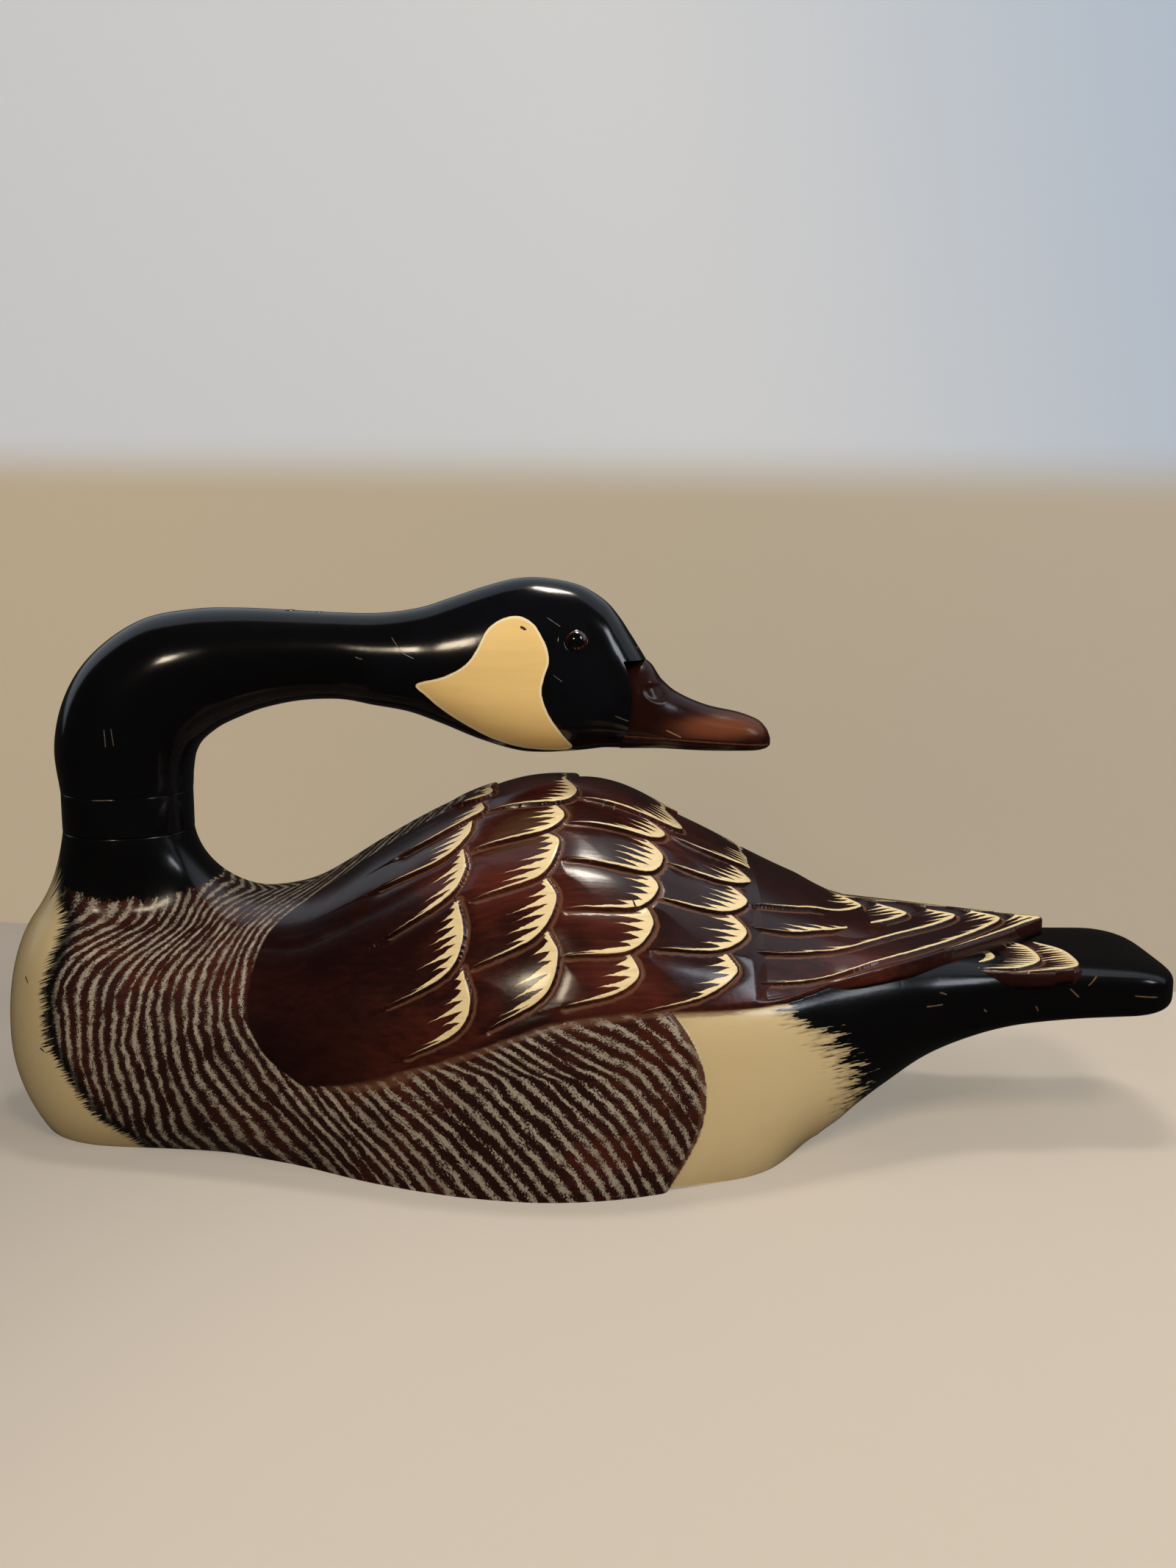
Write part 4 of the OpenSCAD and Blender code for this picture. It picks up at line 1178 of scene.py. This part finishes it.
class HeadFace:
    """Flat face behind the bill and under the brow."""
    facets = None

    def __call__(self, start):
        edge = grid[-1] - (0.01, 0, 0)
        inner = edge * (1, 0, 1)
        ring = np.concatenate([edge, inner])
        k = np.arange(columns)
        self.facets = np.stack([k, np.roll(k, -1), np.roll(k, -1) + columns, k + columns], -1) + start
        forward = np.tile((1.0, 0, 0), (len(ring), 1))
        return [(ring, np.full(len(ring), no_cheek), forward)]


head = lapped("head", ~in_neck, HeadFace(), True)
add_piece(head, glossy_black, "head", "head")

# ---------------------------------------------------------------- lap joint pins
# Two wooden pins are driven down through the lap joint. Their filled and painted heads show as
# worn rings on top of the neck.
pin_r = 4
for name, pin_x in (("front_pin", -136.3), ("rear_pin", -150.7)):
    ring_t = float(np.interp(pin_x - neck_x, curve(neck_table, base_rows, 1), base_rows))
    top_z = float(neck_skin(np.array([ring_t]), np.array([90.0]))[0, 2])
    foot_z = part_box("neck_pins")[0][2] / MM
    pin = turned_piece(name, [
        (0, foot_z), (pin_r - 0.4, foot_z), (pin_r, foot_z + 0.4), (pin_r, top_z - 1.4),
        (pin_r - 0.3, top_z - 0.35), (pin_r - 1.4, top_z - 0.08), (0, top_z + 0.05)],
        (pin_x, 0, 0), 64, black=True)
    add_piece(pin, glossy_black, "head", "neck_pins")

# ---------------------------------------------------------------- bill
# The bill is a block of its own, glued to the head's flat front, with nostrils, a double mouth
# line and a worn, streaky stain, with a painted highlight on the middle of each side.

# One row a section: share of length, share of depth at the top, lift of the underside, share of
# half width.
bill_rows = np.array([
    [0, 1.05, 2, 1], [0.12, 1.03, 2, 0.98], [0.22, 0.8, 2, 0.93], [0.33, 0.65, 1.5, 0.87],
    [0.54, 0.5, 0.8, 0.82], [0.78, 0.41, 0.7, 0.78], [0.9, 0.33, 0.9, 0.64], [0.97, 0.22, 1.8, 0.38],
    [1, 0.12, 3.4, 0.08]])
bill_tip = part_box("bill")[1][0] / MM
bill_depth, bill_half_width = 44.5, 19.5
rows, columns_b = 220, 200
s = np.sin(np.radians(np.linspace(0, 90, rows)))[:, None] + np.zeros((1, columns_b))
a = np.radians(np.arange(columns_b) * 360 / columns_b)[None, :] + 0 * s
top = curve(bill_rows, s, 1) * bill_depth + 2
low = curve(bill_rows, s, 2)
mid = low + (top - low) * 0.34
y = np.sign(np.cos(a)) * np.abs(np.cos(a)) ** (2 / 2.3) * curve(bill_rows, s, 3) * bill_half_width
z = head_floor + mid + np.abs(np.sin(a)) ** (2 / 2.3) * np.where(np.sin(a) > 0, top - mid, low - mid)
z = np.minimum(z, brow_z - 0.05)
x = face_x + s * (bill_tip - face_x)
x = x - (face_x + 0.6 - bill_base(z)) * np.clip(1 - s / 0.16, 0, 1)
grid_b = np.stack([x, y, z], -1)
out = skin_normals(np.concatenate([grid_b[:, -1:], grid_b, grid_b[:, :1]], 1))[:, 1:-1]
out = out if out[60, columns_b // 4, 2] > 0 else -out
mouth = 202.6 - (x - face_x) * 0.075
cut = 0.75 * np.exp(-((z - mouth) / 0.75) ** 2) + 0.45 * np.exp(-((z - mouth + 2.3) / 0.6) ** 2)
cut = cut * np.clip((np.abs(y) - 1.5) / 2, 0, 1)
nostril_x, nostril_z, nostril_long, nostril_high = 36.0, 225.0, 6.2, 4.2
ex, ez = x - nostril_x, z - nostril_z
nose = np.sqrt((ex * 0.94 - ez * 0.34) ** 2 / nostril_long ** 2
               + (ex * 0.34 + ez * 0.94) ** 2 / nostril_high ** 2)
nose_dent = np.clip((1.15 - nose) / 0.55, 0, 1)
cut = cut + 0.85 * nose_dent ** 2 * (3 - 2 * nose_dent) - 0.16 * np.exp(-((nose - 1.25) / 0.18) ** 2)
cut = cut - 0.5 * np.exp(-((s - 0.94) / 0.05) ** 2) * np.clip((z - mouth) / 6, 0, 1)
grid_b = grid_b - out * cut[..., None]
grid_b[-1] = grid_b[-1].mean(0)
back_face = grid_b[0] * (1, 0, 1)
points = np.concatenate([[back_face], grid_b]).reshape(-1, 3)
# The worn guide marks a lighter patch on the middle of each side, above the mouth line: a painted highlight.
worn = np.exp(-(((x - 68) / 24) ** 2 + ((z - 207) / 6.5) ** 2)) * np.clip((z - mouth) / 1.5, 0, 1)


def bill_stain():
    material = new_material("stained_bill")
    # The lighter patch on the middle of each side is a painted highlight; the lighter streaks round it are
    # the stain's own.
    streaks_and_highlight = guide("worn") + noise(stretched((14, 60, 90)), 1.0, 3.0, 0.6) * 0.35
    grain = noise(stretched((50, 600, 600)), 1.0, 3.0, 0.6)
    shade = mix((streaks_and_highlight + grain * 0.2).step(0.05, 0.95), (0.015, 0.0037, 0.0030), (0.145, 0.046, 0.021))
    edge = guide("groove")
    # The mouth lines are coloured lighter than the stain round them.
    lighter_mouth_lines = (edge + noise(place(), 500.0) * 0.4).step(0.3, 0.75) * (1 - axis("Z").step(206.0, 212.0))
    shade = mix(lighter_mouth_lines * 0.6, shade, (0.22, 0.075, 0.045))
    nicks = marks([(42, 206, 49, 202.5), (84, 213.5, 88, 213)], axis("X"), axis("Z"), 0.4)
    shade = mix(nicks * 0.8, shade, (0.30, 0.16, 0.10))
    rough = 0.26 + noise(place(), 80.0) * 0.1
    return finish_material(material, shade, rough, grain + noise(place(), 400.0) * 0.2, 0.08,
                           Coat_Weight=0.05, Coat_Roughness=0.10, Specular_IOR_Level=0.25)


f = round_faces(rows + 1, columns_b)[2].reshape(-1, 4)
bill = make_piece("bill", points, f, {
    "worn": np.concatenate([worn[:1], worn]).reshape(-1),
    "groove": np.concatenate([cut[:1], cut]).reshape(-1)})
add_piece(bill, bill_stain(), "head", "bill")

# ---------------------------------------------------------------- glass eyes
# Glass balls with a dark red-brown iris round a black pupil, pressed into rings of filler that
# are painted black with the head.


def eye_glass():
    material = new_material("brown_glass_eye")
    ex, ez = axis("X") - float(eye_x), axis("Z") - float(eye_z)
    away = (ex * ex + ez * ez).math("SQRT")
    iris = away.step(4.0, 4.5) * (1 - away.step(5.2, 5.9))
    colour = mix(iris, (0.0012, 0.001, 0.001), (0.035, 0.006, 0.0035))
    return finish_material(material, colour, 0.06, Coat_Weight=1.0, Coat_Roughness=0.02, Coat_IOR=1.6)


def head_side(px, pz):
    """Half width of the head at a place and height beside the eye."""
    t = np.interp(px - neck_x, curve(neck_table, base_rows, 1), base_rows)
    t = np.where(px - neck_x > 217, np.interp(px - neck_x, neck_rows[13:, 0], np.arange(13, 20)), t)
    r1, high, wide, drop, n = (curve(neck_table, t, k) for k in (2, 4, 5, 6, 7))
    rise = np.clip((pz - head_floor - r1 + drop) / (high + drop), 0, 0.999)
    return (1 - rise ** n) ** (1 / n) * wide


eye_glass_finish = eye_glass()
eye_r = 6
for name, side, node in (("left", -1, "left_eye"), ("right", 1, "right_eye")):
    corner_low, corner_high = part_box(node)
    centre = (np.array(corner_low) + np.array(corner_high)) / 2 / MM
    around = np.radians(np.linspace(0, 180, 49))
    ball_line = np.c_[eye_r * np.sin(around), -eye_r * np.cos(around)]
    ball = turned_piece(name + "_eye_ball", ball_line, centre, 96, "y")
    add_piece(ball, eye_glass_finish, "head", node)
    r = np.array([5.2, 5.45, 5.7, 6.1, 6.8, 7.6, 8.4, 9.0, 9.4])[:, None] + np.zeros((1, 96))
    lid = np.array([-0.6, 0.15, 0.42, 0.5, 0.38, 0.25, 0.16, 0.10, -0.25])[:, None] + 0 * r
    a = (np.arange(96) * 2 * math.pi / 96)[None, :] + 0 * r
    px, pz = eye_x + r * np.cos(a), eye_z + r * np.sin(a)
    y = head_side(px, pz) - 1.2 * np.exp(-r ** 2 / 64) + lid
    ring = np.stack([px, side * y, pz], -1)
    f = round_faces(len(r), 96)[2].reshape(-1, 4)
    bed = make_piece(name + "_eye_ring", ring.reshape(-1, 3), f if side < 0 else f[:, ::-1],
                     {"cheek": np.full(r.size, no_cheek)})
    add_piece(bed, glossy_black, "head", node + "_bed")

# ---------------------------------------------------------------- peg and dowels
# The hardwood peg that the neck turns on stands in a bore of the body. Dowels of the same wood
# are glued across both seams and line up the three planks.


def dowel_wood():
    material = new_material("bare_hardwood")
    grain = noise(stretched((240, 240, 9)), 1.0, 4.0, 0.6, False)
    return finish_material(material, mix(grain.step(0.3, 0.7), (0.55, 0.36, 0.19), (0.40, 0.24, 0.12)),
                           0.55 + noise(place(), 200.0) * 0.1, grain, 0.15)


hardwood = dowel_wood()
peg_low, peg_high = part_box("neck_peg")[0][2] / MM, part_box("neck_peg")[1][2] / MM
peg_r, peg_edge = 11, 1.4
peg = turned_piece("neck_peg", [
    (0, peg_low), (peg_r - peg_edge, peg_low), (peg_r, peg_low + peg_edge), (peg_r, peg_high - peg_edge),
    (peg_r - peg_edge, peg_high), (0, peg_high)], (neck_x, 0, 0))
add_piece(peg, hardwood, "peg", "neck_peg")


def dowels_on_points(material):
    """A node tree that stands a dowel of a given radius and length on each point of a mesh."""
    tree = bpy.data.node_groups.new("dowels_on_points", "GeometryNodeTree")
    tree.interface.new_socket("Places", in_out="INPUT", socket_type="NodeSocketGeometry")
    tree.interface.new_socket("Radius", in_out="INPUT", socket_type="NodeSocketFloat")
    tree.interface.new_socket("Length", in_out="INPUT", socket_type="NodeSocketFloat")
    tree.interface.new_socket("Dowels", in_out="OUTPUT", socket_type="NodeSocketGeometry")
    given = tree.nodes.new("NodeGroupInput")
    made = tree.nodes.new("NodeGroupOutput")
    rod = tree.nodes.new("GeometryNodeMeshCylinder")
    rod.fill_type = "TRIANGLE_FAN"
    rod.inputs["Vertices"].default_value = 48
    smooth = tree.nodes.new("GeometryNodeSetShadeSmooth")
    stand = tree.nodes.new("GeometryNodeInstanceOnPoints")
    real = tree.nodes.new("GeometryNodeRealizeInstances")
    finish = tree.nodes.new("GeometryNodeSetMaterial")
    finish.inputs["Material"].default_value = material
    tree.links.new(given.outputs["Radius"], rod.inputs["Radius"])
    tree.links.new(given.outputs["Length"], rod.inputs["Depth"])
    tree.links.new(rod.outputs["Mesh"], smooth.inputs["Geometry"])
    tree.links.new(rod.outputs["Side"], smooth.inputs["Selection"])
    tree.links.new(smooth.outputs["Geometry"], stand.inputs["Instance"])
    tree.links.new(given.outputs["Places"], stand.inputs["Points"])
    tree.links.new(stand.outputs["Instances"], real.inputs["Geometry"])
    tree.links.new(real.outputs["Geometry"], finish.inputs["Geometry"])
    tree.links.new(finish.outputs["Geometry"], made.inputs["Dowels"])
    return tree


def dowel_set(node, places):
    """The dowels of one glue line, stood on both sides by the node tree and made a plain mesh."""
    low_z, high_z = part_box(node)[0][2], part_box(node)[1][2]
    middle = (low_z + high_z) / 2
    points = bpy.data.meshes.new(node + "_places")
    points.from_pydata([(px * MM, side * py * MM, middle) for px, py in places for side in (-1, 1)], [], [])
    holder = bpy.data.objects.new(node + "_places", points)
    bpy.context.collection.objects.link(holder)
    grown = holder.modifiers.new("dowels", "NODES")
    grown.node_group = dowel_tree
    for socket in dowel_tree.interface.items_tree:
        if socket.name == "Radius":
            grown[socket.identifier] = dowel_r * MM
        if socket.name == "Length":
            grown[socket.identifier] = high_z - low_z
    seen = holder.evaluated_get(bpy.context.evaluated_depsgraph_get())
    dowels = bpy.data.objects.new(node, bpy.data.meshes.new_from_object(seen))
    bpy.data.objects.remove(holder)
    bpy.context.collection.objects.link(dowels)
    return dowels


dowel_tree = dowels_on_points(hardwood)
dowel_r = 6
for node, places in (("lower_dowels", [(-162.8, 37.95), (72.36, 65.78)]),
                     ("upper_dowels", [(-84.42, 40.48), (54.27, 40.48)])):
    add_piece(dowel_set(node, places), hardwood, "body", node)
